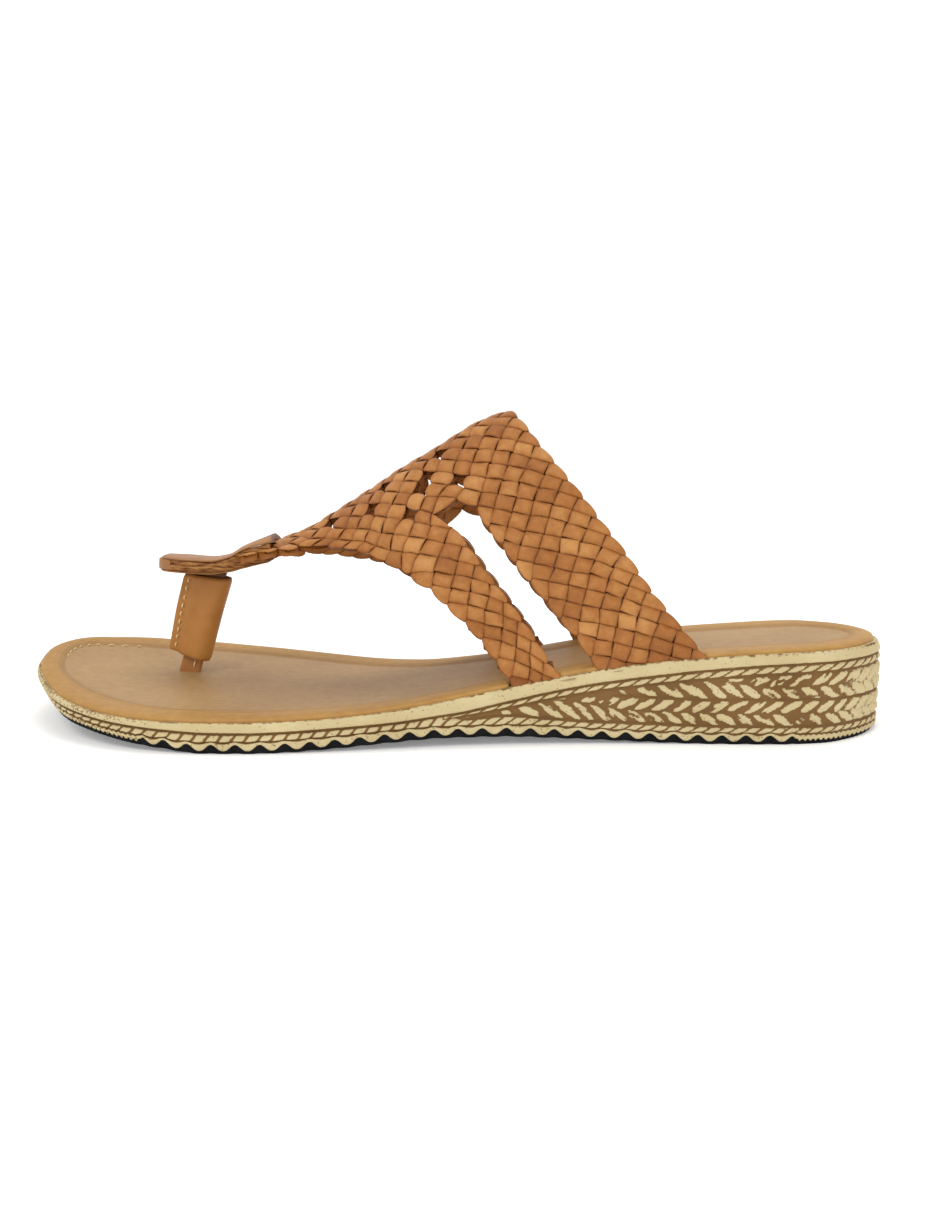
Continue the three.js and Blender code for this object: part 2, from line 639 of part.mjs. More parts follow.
function weaveGeometry() {
  const shell = new Shell();
  const known = new Map();
  const edges = new Map();

  function vertex(i, j, rise) {
    const name = `${i} ${j} ${rise}`;
    if (!known.has(name)) {
      const { c, s } = gridPlace(i, j);
      known.set(name, shell.point(onForm(c, s, rise)));
    }
    return known.get(name);
  }

  function innerVertex(i, j) {
    return vertex(i, j, i >= PRESSED_FROM ? -TONGUE_WALL : -WEAVE_WALL);
  }

  // The loop of a cell, with a bulge on each side that has no neighbour
  function loopOf(i, j) {
    const corners = cornersOf(i, j);
    const loop = [];
    corners.forEach((corner, n) => {
      const next = corners[(n + 1) % corners.length];
      if (!isNode(...corner)) {
        loop.push([i + (corner[0] - i) * SCALLOP, j + (corner[1] - j) * SCALLOP]);
        return;
      }
      loop.push(corner);
      if (!isNode(...next)) return;
      const middle = [(corner[0] + next[0]) / 2, (corner[1] + next[1]) / 2];
      const beyond = [2 * middle[0] - i, 2 * middle[1] - j];
      if (!hasCell(...beyond)) {
        const out = 1 + SIDE_SCALLOP;
        loop.push([i + (middle[0] - i) * out, j + (middle[1] - j) * out]);
      }
    });
    return loop;
  }

  function crownsOf(i, j) {
    const missing = cornersOf(i, j).find((corner) => !isNode(...corner));
    if (missing) {
      const inner = [
        i - (missing[0] - i) * EDGE_CROWN_SHIFT,
        j - (missing[1] - j) * EDGE_CROWN_SHIFT,
      ];
      return [inner, inner];
    }
    const reach = RIDGE_SHARE / 2;
    const turn = i % 2 === 0 ? 1 : -1;
    return [[i - reach, j + turn * reach], [i + reach, j - turn * reach]];
  }

  function addCell(i, j) {
    const loop = loopOf(i, j);
    const rise = i >= PRESSED_FROM ? PRESSED_RISE : STRIP_RISE;
    const [first, second] = crownsOf(i, j);
    const nearest = (place) => {
      const toFirst = Math.hypot(place[0] - first[0], place[1] - first[1]);
      const toSecond = Math.hypot(place[0] - second[0], place[1] - second[1]);
      return toFirst <= toSecond + WELD ? first : second;
    };
    loop.forEach((place, n) => {
      const next = loop[(n + 1) % loop.length];
      const a = vertex(...place, 0);
      const b = vertex(...next, 0);
      const crown = nearest(place);
      const nextCrown = nearest(next);
      shell.face(b, a, vertex(...crown, rise));
      if (crown !== nextCrown) {
        shell.face(b, vertex(...crown, rise), vertex(...nextCrown, rise));
      }
      const name = a < b ? `${a} ${b}` : `${b} ${a}`;
      edges.set(name, edges.has(name) ? null : [place, next]);
    });
    const inner = loop.map((place) => innerVertex(...place));
    for (let n = 1; n + 1 < inner.length; n += 1) {
      shell.face(inner[0], inner[n], inner[n + 1]);
    }
  }

  for (let i = 0; i <= LAST_ROW; i += 1) {
    for (let j = -NODES_DOWN_A_STRAP; j <= NODES_DOWN_A_STRAP; j += 1) {
      const odd = (i + j) % 2 !== 0;
      if (odd && hasCell(i, j)) addCell(i, j);
    }
  }
  edges.forEach((edge) => {
    if (!edge) return;
    const [place, next] = edge;
    shell.quad(
      vertex(...place, 0),
      vertex(...next, 0),
      innerVertex(...next),
      innerVertex(...place),
    );
  });
  return shell.geometry();
}

// A block that fills everything up to just above the sole's top, to trim the straps
function landingBlock() {
  const shell = new Shell();
  const stations = [];
  for (let x = LANDING.from; x <= LANDING.to; x += LANDING.step) stations.push(x);
  const layer = (height) => stations.map((x) => LANDING_ACROSS.map((y) => (
    shell.point(new THREE.Vector3(x, y, height(x, y)))
  )));
  const top = layer(soleTop);
  const base = layer(() => LANDING.depth);
  const rows = stations.length - 1;
  const columns = LANDING_ACROSS.length - 1;
  for (let n = 0; n < rows; n += 1) {
    for (let m = 0; m < columns; m += 1) {
      shell.quad(top[n][m], top[n + 1][m], top[n + 1][m + 1], top[n][m + 1]);
      shell.quad(base[n][m], base[n][m + 1], base[n + 1][m + 1], base[n + 1][m]);
    }
    shell.quad(base[n][0], base[n + 1][0], top[n + 1][0], top[n][0]);
    shell.quad(top[n][columns], top[n + 1][columns], base[n + 1][columns], base[n][columns]);
  }
  for (let m = 0; m < columns; m += 1) {
    shell.quad(top[0][m], top[0][m + 1], base[0][m + 1], base[0][m]);
    shell.quad(base[rows][m], base[rows][m + 1], top[rows][m + 1], top[rows][m]);
  }
  return solidOf(shell.geometry());
}

// The trim leaves crumbs of edge scallops behind, so only the largest body is kept
function upperGeometry() {
  const bodies = solidOf(weaveGeometry()).subtract(landingBlock()).decompose();
  bodies.sort((one, other) => other.volume() - one.volume());
  return geometryOf(bodies[0]);
}

// The room that one strap end takes in the footbed, with the gap on every side
function strapRoom(side, firstRow, lastRow) {
  const shell = new Shell();
  const rises = [STRIP_RISE + ROOM_CLEARANCE, -WEAVE_WALL - GAP];
  const last = ROOM_RUN.length - 1;
  const ids = [];
  for (let n = 0; n <= ROOM_STEPS; n += 1) {
    const i = THREE.MathUtils.lerp(firstRow, lastRow, n / ROOM_STEPS);
    let beyond = 0;
    if (n === 0) beyond = -ROOM_EDGE - GAP;
    if (n === ROOM_STEPS) beyond = ROOM_EDGE + GAP;
    const { runs } = archOf(gridPlace(i, side * LANDING_NODE).c, side);
    const landing = runs[runs.length - 1];
    ids.push(ROOM_RUN.map((more) => {
      const s = side * (landing + more);
      const { c } = gridPlace(i, s / ACROSS_STEP);
      return rises.map((rise) => shell.point(onForm(c + beyond, s, rise)));
    }));
  }
  const add = (a, b, c, d) => (side > 0 ? shell.quad(a, b, c, d) : shell.quad(d, c, b, a));
  for (let n = 0; n < ROOM_STEPS; n += 1) {
    const here = ids[n];
    const next = ids[n + 1];
    for (let m = 0; m < last; m += 1) {
      add(here[m][0], here[m + 1][0], next[m + 1][0], next[m][0]);
      add(next[m][1], next[m + 1][1], here[m + 1][1], here[m][1]);
    }
    add(here[0][1], here[0][0], next[0][0], next[0][1]);
    add(here[last][0], here[last][1], next[last][1], next[last][0]);
  }
  const first = ids[0];
  const end = ids[ROOM_STEPS];
  for (let m = 0; m < last; m += 1) {
    add(first[m][1], first[m + 1][1], first[m + 1][0], first[m][0]);
    add(end[m][0], end[m + 1][0], end[m + 1][1], end[m][1]);
  }
  return solidOf(shell.geometry());
}

// Toe post: a flat strap with rounded corners, swept straight from foot to top

function roundedSection(length, width, radius) {
  const shape = new THREE.Shape();
  const x = length / 2;
  const y = width / 2;
  shape.moveTo(-x + radius, -y);
  shape.lineTo(x - radius, -y);
  shape.absarc(x - radius, -y + radius, radius, -Math.PI / 2, 0);
  shape.absarc(x - radius, y - radius, radius, 0, Math.PI / 2);
  shape.absarc(-x + radius, y - radius, radius, Math.PI / 2, Math.PI);
  shape.absarc(-x + radius, -y + radius, radius, Math.PI, 1.5 * Math.PI);
  return shape;
}

function postCentre(z) {
  const share = (z - POST_FOOT.z) / POST_RISE;
  return new THREE.Vector3(
    POST_FOOT.x + POST_LEAN * (z - POST_FOOT.z),
    THREE.MathUtils.lerp(POST_FOOT.y, POST_TOP_Y, share),
    z,
  );
}

function sweptPost(from, to, grow) {
  const length = POST_WIDTH + 2 * grow;
  const width = POST_THICKNESS + 2 * grow;
  const outlinePoints = roundedSection(length, width, POST_CORNER + grow)
    .getPoints(POST_CORNER_STEPS);
  const loop = outlinePoints.filter((point, n) => (
    n === 0 || point.distanceTo(outlinePoints[n - 1]) > WELD
  ));
  if (loop[0].distanceTo(loop[loop.length - 1]) < WELD) loop.pop();
  const shell = new Shell();
  const rings = [from, to].map((z) => loop.map((point) => (
    shell.point(postCentre(z).add(new THREE.Vector3(point.x, point.y, 0)))
  )));
  const count = loop.length;
  for (let n = 0; n < count; n += 1) {
    const next = (n + 1) % count;
    shell.quad(rings[0][n], rings[0][next], rings[1][next], rings[1][n]);
  }
  for (let n = 1; n + 1 < count; n += 1) {
    shell.face(rings[0][0], rings[0][n + 1], rings[0][n]);
    shell.face(rings[1][0], rings[1][n], rings[1][n + 1]);
  }
  return shell.geometry();
}

// Toe tab: one strip of leather, folded at the toe, that follows the form of the upper.
// over and under: rise of its inner faces above and below the tongue of the weave
const TAB = curvesOf(
  ['c', 'over', 'under'],
  [
    [82, 1.7, -2.3],
    [86, 1.3, -2.7],
    [91.5, 0.9, -2.7],
    [95.5, 0.4, -2.2],
    [101, 0.34, -1.72],
    [TAB_FOLD_AT, 0.34, -1.72],
  ],
);

function tabHalfWidth(c) {
  const nose = TAB_FOLD_AT + (TAB.over(TAB_FOLD_AT) - TAB.under(TAB_FOLD_AT)) / 2
    + TAB_LAYER - TAB_NOSE_RADIUS;
  if (c <= nose) return TAB_HALF_WIDTH;
  const over = (c - nose) / TAB_NOSE_RADIUS;
  const flat = TAB_HALF_WIDTH - TAB_NOSE_RADIUS;
  return flat + TAB_NOSE_RADIUS * Math.sqrt(Math.max(0, 1 - over * over * TAB_NOSE_FULLNESS));
}

// Stations of the strip as (c, rise) with the direction of its outer face
function tabPath() {
  const path = [];
  const top = TAB.over(TAB_FOLD_AT);
  const bottom = TAB.under(TAB_FOLD_AT);
  const middle = (top + bottom) / 2;
  const radius = (top - bottom) / 2;
  for (let n = 0; n <= TAB_RUNS; n += 1) {
    const c = THREE.MathUtils.lerp(TAB_BOTTOM_FROM, TAB_FOLD_AT, n / TAB_RUNS);
    path.push({ c, rise: TAB.under(c), along: 0, up: -1 });
  }
  for (let n = 1; n < TAB_FOLD_STEPS; n += 1) {
    const angle = -Math.PI / 2 + n * Math.PI / TAB_FOLD_STEPS;
    path.push({
      c: TAB_FOLD_AT + radius * Math.cos(angle),
      rise: middle + radius * Math.sin(angle),
      along: Math.cos(angle),
      up: Math.sin(angle),
    });
  }
  for (let n = 0; n <= TAB_RUNS; n += 1) {
    const c = THREE.MathUtils.lerp(TAB_FOLD_AT, TAB_TOP_FROM, n / TAB_RUNS);
    path.push({ c, rise: TAB.over(c), along: 0, up: 1 });
  }
  return path;
}

function tabGeometry() {
  const shell = new Shell();
  const path = tabPath();
  const layers = path.map(({ c, rise, along, up }) => {
    const half = tabHalfWidth(c + along * TAB_LAYER);
    return TAB_ACROSS.map((share) => [0, TAB_LAYER].map((out) => (
      shell.point(onForm(c + along * out, share * half, rise + up * out))
    )));
  });
  const last = TAB_ACROSS.length - 1;
  for (let n = 0; n + 1 < layers.length; n += 1) {
    for (let m = 0; m < last; m += 1) {
      const here = layers[n];
      const next = layers[n + 1];
      shell.quad(here[m][1], here[m + 1][1], next[m + 1][1], next[m][1]);
      shell.quad(here[m][0], next[m][0], next[m + 1][0], here[m + 1][0]);
    }
    shell.quad(layers[n][0][0], layers[n][0][1], layers[n + 1][0][1], layers[n + 1][0][0]);
    shell.quad(
      layers[n][last][1],
      layers[n][last][0],
      layers[n + 1][last][0],
      layers[n + 1][last][1],
    );
  }
  const first = layers[0];
  const end = layers[layers.length - 1];
  for (let m = 0; m < last; m += 1) {
    shell.quad(first[m][0], first[m + 1][0], first[m + 1][1], first[m][1]);
    shell.quad(end[m][1], end[m + 1][1], end[m + 1][0], end[m][0]);
  }
  return shell.geometry();
}

// Post sleeve: drop-shaped sections, seam at the front, open at both ends
const SLEEVE = curvesOf(
  ['t', 'front', 'back', 'frontZ', 'backZ', 'y'],
  [
    [0, -90.9, -78.3, 18.0, 14.2, 8.8],
    [0.5, -88.6, -74.6, 29.3, 26.8, 9.2],
    [1, -85.3, -70.4, 40.9, 39.3, 9.6],
  ],
);

// Distances run back from the front of the drop; the round end is at the back
function dropSection(seam, thin, radius, length) {
  const round = [];
  for (let n = 0; n <= SLEEVE_ROUND_STEPS; n += 1) {
    const angle = -Math.PI / 2 + n * Math.PI / SLEEVE_ROUND_STEPS;
    round.push([length - radius + radius * Math.cos(angle), radius * Math.sin(angle)]);
  }
  const shoulder = seam + SHOULDER.back * radius;
  const wide = SHOULDER.across * radius;
  return [
    [0, -thin], [seam, -thin], [shoulder, -wide], ...round, [shoulder, wide], [seam, thin],
    [0, thin],
  ];
}

function sleeveSections(t) {
  const length = SLEEVE.back(t) - SLEEVE.front(t);
  const innerLength = length - SLEEVE_SEAM - SLEEVE_WALL;
  const innerRadius = SLEEVE_HALF_WIDTH - SLEEVE_WALL;
  const place = (start) => ([back, across]) => {
    const share = (start + back) / length;
    return new THREE.Vector3(
      SLEEVE.front(t) + start + back,
      SLEEVE.y(t) + across,
      THREE.MathUtils.lerp(SLEEVE.frontZ(t), SLEEVE.backZ(t), share),
    );
  };
  const outer = dropSection(SLEEVE_SEAM, SLEEVE_WALL, SLEEVE_HALF_WIDTH, length);
  const inner = dropSection(SLEEVE_SLIT_DEPTH, SLEEVE_SLIT, innerRadius, innerLength);
  return { outer: outer.map(place(0)), inner: inner.map(place(SLEEVE_SEAM)) };
}

function sleeveGeometry() {
  const shell = new Shell();
  const rings = [];
  for (let n = 0; n <= SLEEVE_LEVELS; n += 1) {
    const { outer, inner } = sleeveSections(n / SLEEVE_LEVELS);
    rings.push({
      outer: outer.map((vector) => shell.point(vector)),
      inner: inner.map((vector) => shell.point(vector)),
    });
  }
  const count = rings[0].outer.length;
  for (let m = 0; m < count; m += 1) {
    const next = (m + 1) % count;
    for (let n = 0; n < SLEEVE_LEVELS; n += 1) {
      const low = rings[n];
      const high = rings[n + 1];
      shell.quad(low.outer[m], low.outer[next], high.outer[next], high.outer[m]);
      shell.quad(low.inner[next], low.inner[m], high.inner[m], high.inner[next]);
    }
    const bottom = rings[0];
    const top = rings[SLEEVE_LEVELS];
    shell.quad(bottom.outer[next], bottom.outer[m], bottom.inner[m], bottom.inner[next]);
    shell.quad(top.outer[m], top.outer[next], top.inner[next], top.inner[m]);
  }
  return shell.geometry();
}

// Assembly

function footbedGeometry() {
  let solid = solidOf(loftRings(footbedRings()));
  for (const side of [-1, 1]) {
    solid = solid.subtract(strapRoom(side, 0, REAR_STRAP_ROWS));
    solid = solid.subtract(strapRoom(side, FRONT_STRAP_FIRST, FRONT_STRAP_LAST));
  }
  solid = solid.subtract(solidOf(sweptPost(POST_SLOT.from, POST_SLOT.to, GAP)));
  return geometryOf(solid);
}

function postGeometry() {
  const foot = soleTop(POST_FOOT.x, POST_FOOT.y);
  return sweptPost(foot + POST_START, POST_TOP, 0);
}

const MATERIALS = {
  cream: { color: 0xd9c79b, roughness: 0.75, metalness: 0 },
  tan: { color: 0xb98d5c, roughness: 0.55, metalness: 0 },
  cognac: { color: 0xb5682f, roughness: 0.5, metalness: 0 },
  saddle: { color: 0xa9683a, roughness: 0.5, metalness: 0 },
};

const PIECES = [
  ['sole', soleGeometry, MATERIALS.cream],
  ['footbed', footbedGeometry, MATERIALS.tan],
  ['upper', upperGeometry, MATERIALS.cognac],
  ['toe_tab', tabGeometry, MATERIALS.saddle],
  ['post_sleeve', sleeveGeometry, MATERIALS.saddle],
  ['toe_post', postGeometry, MATERIALS.saddle],
];

const sandal = new THREE.Group();
for (const [name, build, look] of PIECES) {
  const mesh = new THREE.Mesh(build(), new THREE.MeshStandardMaterial(look));
  mesh.name = name;
  sandal.add(mesh);
}
sandal.position.set(CENTRING.x, CENTRING.y, 0);

export default sandal;
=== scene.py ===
import math

import bpy
import numpy as np
from mathutils import Matrix, Vector


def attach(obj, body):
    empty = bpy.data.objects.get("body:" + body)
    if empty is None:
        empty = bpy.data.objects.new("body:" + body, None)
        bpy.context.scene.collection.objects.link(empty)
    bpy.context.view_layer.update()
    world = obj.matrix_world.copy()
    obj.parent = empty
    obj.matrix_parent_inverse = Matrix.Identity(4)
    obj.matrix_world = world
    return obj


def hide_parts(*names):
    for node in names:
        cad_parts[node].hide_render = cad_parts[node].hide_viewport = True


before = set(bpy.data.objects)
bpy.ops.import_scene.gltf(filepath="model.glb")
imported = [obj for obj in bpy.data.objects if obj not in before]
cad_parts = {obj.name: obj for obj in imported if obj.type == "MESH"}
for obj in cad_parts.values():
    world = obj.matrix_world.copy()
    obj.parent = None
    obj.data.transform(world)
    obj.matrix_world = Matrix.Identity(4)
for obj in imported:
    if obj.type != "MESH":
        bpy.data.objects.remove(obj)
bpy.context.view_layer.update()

# Lengths are in millimetres until a mesh is made
MM = 0.001
CENTRING = np.array([3.2, -0.8, 0.0])    # from the tables' origin to the frame's
TURN = 2 * math.pi
NOISE_MIX = np.array([127.1, 311.7, 74.7])
NOISE_SCALE = 43758.5453
TOE_TIP = (-130.3, 11.0)
HEEL_TIP = (123.4, 0.3)
FIRST_X = -129.9
LAST_X = 123.2
TOE_LENGTH = 24
HEEL_LENGTH = 14
OUTLINE_SAMPLES = 3000
OUTLINE_SMOOTHING = 4.0
OUTLINE_FALLOFF = 2.6

# Side of the sole
SIDE_STEP = 0.42
SIDE_LEVELS = 56
SIDE_TOP_GAP = 0.05
LIP_WIDTH = 1.4
TUCK = 0.3
TOE_TUCK = 3.2
HEEL_TUCK = 0.1
PROUD = 0.6
HEEL_PROUD = 0.4
BOTTOM_ROUND = 0.5
BOTTOM_ROUND_HEIGHT = 0.8
GROOVE_DEPTH = 0.75
GROOVE_REACH = 0.42
BAND_SWELL = 0.32

# Strands and wheat-ear leaves on the side
ROPE_RELIEF = 0.4
LOW_ROPE_PITCH = 3.6
UPPER_ROPE_PITCH = 4.2
UPPER_ROPE_SLANT = 1.9
UPPER_ROPE_FROM = -1
LEAF_RELIEF = 0.45
LEAF_WEAR = 1.45
LEAF_LEAN = 1.25
LEAST_LEAF = 0.7
WEDGE_RISES = (-3, 7)
HEEL_WEARS = (104, 117)
TOE_SPECKS_END = (-104, -66)
EDGE_DARKENS = (0.955, 1.0)

# Ribs and tread
RIB_PITCH = 6.6
RIB_DEPTH = 1.75
RIB_REACH = RIB_DEPTH * 2.2
FIRST_RIB = -79.1
LAST_RIB = FIRST_RIB + RIB_PITCH * 26
RIB_FADE = (-2.2, 5)
SERRATION_PITCH = 1.5
SERRATION_DEPTH = 0.75
TREAD_SHOWS = 0.9
TREAD_INSET = 0.15
TREAD_WALL = 2.9
TREAD_WAVE = 0.12
TREAD_LIFT = 0.02

# Footbed
FOOTBED_STEP = 0.8
FOOTBED_INSET = 0.6
FOOTBED_HEIGHT = 0.5
RIM_WIDTH = 11.0
RIM_AT_TOE = 0.55
RIM_HEEL_LOSS = 0.4
RIM_WIDENS = (-131, -104)
RIM_NARROWS = (98, 124)
HEEL_STEP_IN = 0.7
HEEL_RIM_RISE = 0.4
NOTCH_DEPTH = 2.7
NOTCH_ROUND = (0.2, 0.8)
NOTCH_MARGIN = 0.6
SLOPE_SHADE = 0.32
CREASE_SHADE = 0.1
FIELD_LUMPS = 0.12

# Weave
WEAVE_WALL = 2.0
TONGUE_WALL = 1.4
OUTER_SKIN = 0.35
STRIP_RISE = 0.72
STRIP_LENGTH = 1.05
STRIP_WIDTH = 0.955
SIDE_BULGE = 0.3
PETAL_DEPTH = 1.35
SLOT_PETAL = 0.45
PETAL_LEAN = 0.9
PETAL_OVERLAP = 0.5
PETAL_TILT = 0.16
ACROSS_STEP = 3.3
NODE_JITTER = 0.55
CELL_TURN = 0.07
OUTER_FLOOR = -0.95
INNER_FLOOR = -0.9
CORE_FLOOR = -0.92
NOTCH_SINK = 0.9
FOOT_SHADE = 0.22
FOOT_SHADE_HEIGHT = 12

# Form under the weave: c runs along the ridge, s down the arch
STRAP_INSET = 0.5
ARCH_SPREAD = 0.25
SKEW = 0.14
ARCH_STEPS = 48
FORM_STEP = 0.5
FORM_REACH = 116.0
FORM_FROM = -6.0
FORM_TO = 132.0
TIP_MARGIN = 5
FOOT_ROUNDS = 60
BELOW_LAST = 1.001
NORMAL_STEP = 0.8

# Toe tab
TAB_SWELL = 0.25
TAB_LAYER = 1.2
TAB_FROM_OVER = 82
TAB_FROM_UNDER = 84.5
TAB_FOLD_AT = 117.4
TAB_HALF_WIDTH = 11.8
TAB_NOSE_RADIUS = 9.0
FILLING_OVERLAP = 0.3
FILLING_PROUD = 0.12
CORE_ROUGHNESS = 0.28

# Sleeve and post
SLEEVE_HALF_WIDTH = 3.9
SLEEVE_WALL = 1.3
SLEEVE_SEAM = 2.4
SLEEVE_LEVELS = 26
POST_FOOT = (-84.9, 8.6, 10.6)
POST_TOP_Y = 9.6
POST_HEIGHT = 32
POST_LEAN = 0.3
POST_HALF_LENGTH = 3.3
POST_HALF_WIDTH = 1.6
POST_CORNER = 1.0
POST_DARKENS = (34, 38)

# Camera, with its place in millimetres, and studio, in metres
CAMERA_PLACE = np.array([31.3, -352.9, 92.0])
CAMERA_PITCH_YAW_ROLL = (9.42, -4.39, -0.21)
SENSOR = 36
FOCAL_LENGTH_IN_HEIGHTS = 1200 / 1215
FLOOR_GLOW = 0.2
WALL_GLOW = 0.98
WALL_FROM = (0.3, 1.3)
WORLD_LIGHT = 0.42
FLOOR_RINGS = (0.2, 0.35, 0.5, 0.7, 0.9, 1.2, 1.5, 1.9)
BOWL_ROUND = 0.9
BOWL_STEPS = 12
WALL_TOP = (2.8, 3.2)
FLOOR_SEGMENTS = 64

# Colours
WHITE = (1, 1, 1)
WALL_PAPER = (0.06, 0.06, 0.06)
PAPER = ((0.90, 0.90, 0.90), (0.93, 0.93, 0.93))
WOVEN_DARK = (0.215, 0.064, 0.010)
WOVEN_MID = (0.350, 0.128, 0.026)
WOVEN_LIGHT = (0.500, 0.230, 0.066)
# The next colour is painted shade in the joints where strips tuck under each other
WOVEN_SEAM_SHADE = (0.150, 0.040, 0.005)
RIM_LEATHER = ((0.345, 0.178, 0.046), (0.455, 0.25, 0.070))
FIELD_LEATHER = ((0.32, 0.186, 0.078), (0.42, 0.26, 0.112))
FOOTBED_SHADE = (0.20, 0.105, 0.045)
CREAM = ((0.52, 0.415, 0.215), (0.59, 0.49, 0.275))
WASH = ((0.150, 0.075, 0.022), (0.200, 0.105, 0.033))
RUBBER = ((0.007, 0.007, 0.008), (0.016, 0.015, 0.016))
THREAD = ((0.66, 0.50, 0.24), (0.85, 0.72, 0.45))
TAB_LEATHER = ((0.26, 0.104, 0.032), (0.38, 0.178, 0.058))
SLEEVE_LEATHER = ((0.36, 0.148, 0.031), (0.45, 0.20, 0.048))
POST_LEATHER = ((0.33, 0.135, 0.038), (0.42, 0.19, 0.06))
RAW_DARK = (0.10, 0.032, 0.008)
RAW_MID = (0.27, 0.108, 0.028)
RAW_LIGHT = (0.43, 0.22, 0.070)


# Small helpers

def smooth_step(low, high, value):
    share = np.clip((value - low) / (high - low), 0, 1)
    return share * share * (3 - 2 * share)


def plateau(value, low, high, inner, outer):
    """1 within low and high by the inner margin, 0 beyond them by the outer one."""
    rising = smooth_step(low - outer, low + inner, value)
    return rising * (1 - smooth_step(high - inner, high + outer, value))


def monotone_curve(keys, values):
    """A smooth curve through a short table that never overshoots it."""
    keys = np.asarray(keys, float)
    values = np.asarray(values, float)
    steps = np.diff(keys)
    slopes = np.diff(values) / steps
    tangents = np.zeros(len(keys))
    tangents[0] = slopes[0]
    tangents[-1] = slopes[-1]
    for n in range(1, len(keys) - 1):
        if slopes[n - 1] * slopes[n] > 0:
            before = 2 * steps[n] + steps[n - 1]
            after = steps[n] + 2 * steps[n - 1]
            tangents[n] = (before + after) / (before / slopes[n - 1] + after / slopes[n])

    def at(key):
        key = np.asarray(key, float)
        n = np.clip(np.searchsorted(keys, key, side="right") - 1, 0, len(steps) - 1)
        t = (key - keys[n]) / steps[n]
        inside = (
            (1 + 2 * t) * (1 - t) ** 2 * values[n]
            + t * (1 - t) ** 2 * tangents[n] * steps[n]
            + t * t * (3 - 2 * t) * values[n + 1]
            + t * t * (t - 1) * tangents[n + 1] * steps[n]
        )
        below = values[0] + tangents[0] * (key - keys[0])
        above = values[-1] + tangents[-1] * (key - keys[-1])
        return np.where(key < keys[0], below, np.where(key > keys[-1], above, inside))

    return at


def curves_of(names, rows):
    """One curve for each named column; the first column holds the keys."""
    columns = list(zip(*rows))
    return {name: monotone_curve(columns[0], columns[n + 1]) for n, name in enumerate(names)}


def noise(points):
    """Smooth noise from -1 to 1 that is the same on every run."""
    points = np.asarray(points, float)
    base = np.floor(points)
    part = points - base
    part = part * part * (3 - 2 * part)
    total = 0
    for corner in np.ndindex(2, 2, 2):
        weight = np.prod(np.where(np.array(corner) == 1, part, 1 - part), axis=-1)
        mixed = np.sin((base + corner) @ NOISE_MIX) * NOISE_SCALE
        total = total + weight * (mixed - np.floor(mixed))
    return total * 2 - 1


def noise_uv(u, v, seed):
    u, v = np.broadcast_arrays(u, v)
    return noise(np.stack([u, v, np.full(u.shape, seed + 0.37)], axis=-1))


# Tables of the shape. The sole's rows: x, both edges, both top heights, the lowest line

SOLE = curves_of(
    ("lateral", "medial", "topLateral", "topMedial", "bottom"),
    [
        (-129.9, 6.2, 15.6, 16.7, 16.9, 8.4), (-128.8, 1.6, 19.2, 16.4, 17.0, 8.2),
        (-126.6, -6.6, 23.9, 15.8, 17.1, 7.9), (-122, -15.9, 29.0, 14.2, 16.8, 7.2),
        (-118, -21.4, 32.8, 12.9, 16.1, 6.5), (-112, -28.7, 37.8, 11.5, 15.2, 5.6),
        (-105, -34.3, 42.0, 10.4, 14.1, 4.6), (-95, -40.0, 45.4, 9.4, 12.6, 3.2),
        (-85, -43.5, 47.1, 8.9, 11.7, 1.9), (-75, -45.3, 47.5, 8.6, 10.8, 0.9),
        (-66, -45.9, 46.9, 8.6, 10.2, 0), (-52, -45.3, 44.2, 8.7, 9.5, 0),
        (-45, -44.3, 42.1, 8.8, 9.3, 0.1), (-30, -41.7, 36.9, 9.4, 9.1, 0.8),
        (-15, -38.4, 32.3, 10.7, 9.7, 1.8), (0, -35.1, 28.8, 13.0, 11.6, 2.5),
        (15, -32.3, 26.8, 15.9, 14.1, 2.4), (30, -30.2, 26.1, 18.8, 17.0, 1.7),
        (45, -28.7, 26.1, 21.4, 19.7, 0.9), (60, -27.9, 26.7, 23.4, 21.7, 0.3),
        (75, -27.5, 27.3, 24.7, 23.1, 0), (90, -26.9, 27.3, 25.7, 24.2, 0),
        (105, -24.1, 25.0, 26.2, 25.2, 0), (111, -20.3, 21.3, 26.2, 25.4, 0),
        (115, -16.9, 17.9, 26.1, 25.5, 0), (118.2, -13.2, 14.2, 26.0, 25.5, 0),
        (120.8, -9.2, 10.0, 25.9, 25.4, 0), (122.5, -5.3, 5.9, 25.7, 25.5, 0),
        (123.2, -2.4, 3.0, 25.6, 25.5, 0),
    ],
)

# Where the side's bands end, as shares of its height
BANDS = curves_of(
    ("bandFoot", "ropeFoot", "leafMiddle", "leafFoot", "lowRopeFoot"),
    [
        (-125, 0.64, 0.50, 0.49, 0.48, 0.34), (-95, 0.69, 0.52, 0.51, 0.50, 0.31),
        (-80, 0.70, 0.52, 0.51, 0.50, 0.32), (-52, 0.655, 0.52, 0.51, 0.50, 0.355),
        (-30, 0.665, 0.525, 0.515, 0.505, 0.395), (-12, 0.62, 0.515, 0.505, 0.495, 0.37),
        (2, 0.63, 0.53, 0.50, 0.46, 0.29), (15, 0.705, 0.585, 0.575, 0.45, 0.237),
        (28, 0.775, 0.665, 0.645, 0.34, 0.20), (42, 0.81, 0.71, 0.64, 0.265, 0.145),
        (56, 0.825, 0.73, 0.575, 0.24, 0.127), (70, 0.85, 0.755, 0.523, 0.218, 0.113),
        (90, 0.87, 0.775, 0.50, 0.20, 0.10), (125, 0.875, 0.78, 0.455, 0.185, 0.09),
    ],
)

# Rows of leaves: band edges, where the lower and the upper half start, pitch
LEAF_ROWS = (
    ("leafMiddle", "ropeFoot", 47, 76, 5.6),
    ("leafFoot", "leafMiddle", 14, 35, 5.0),
)

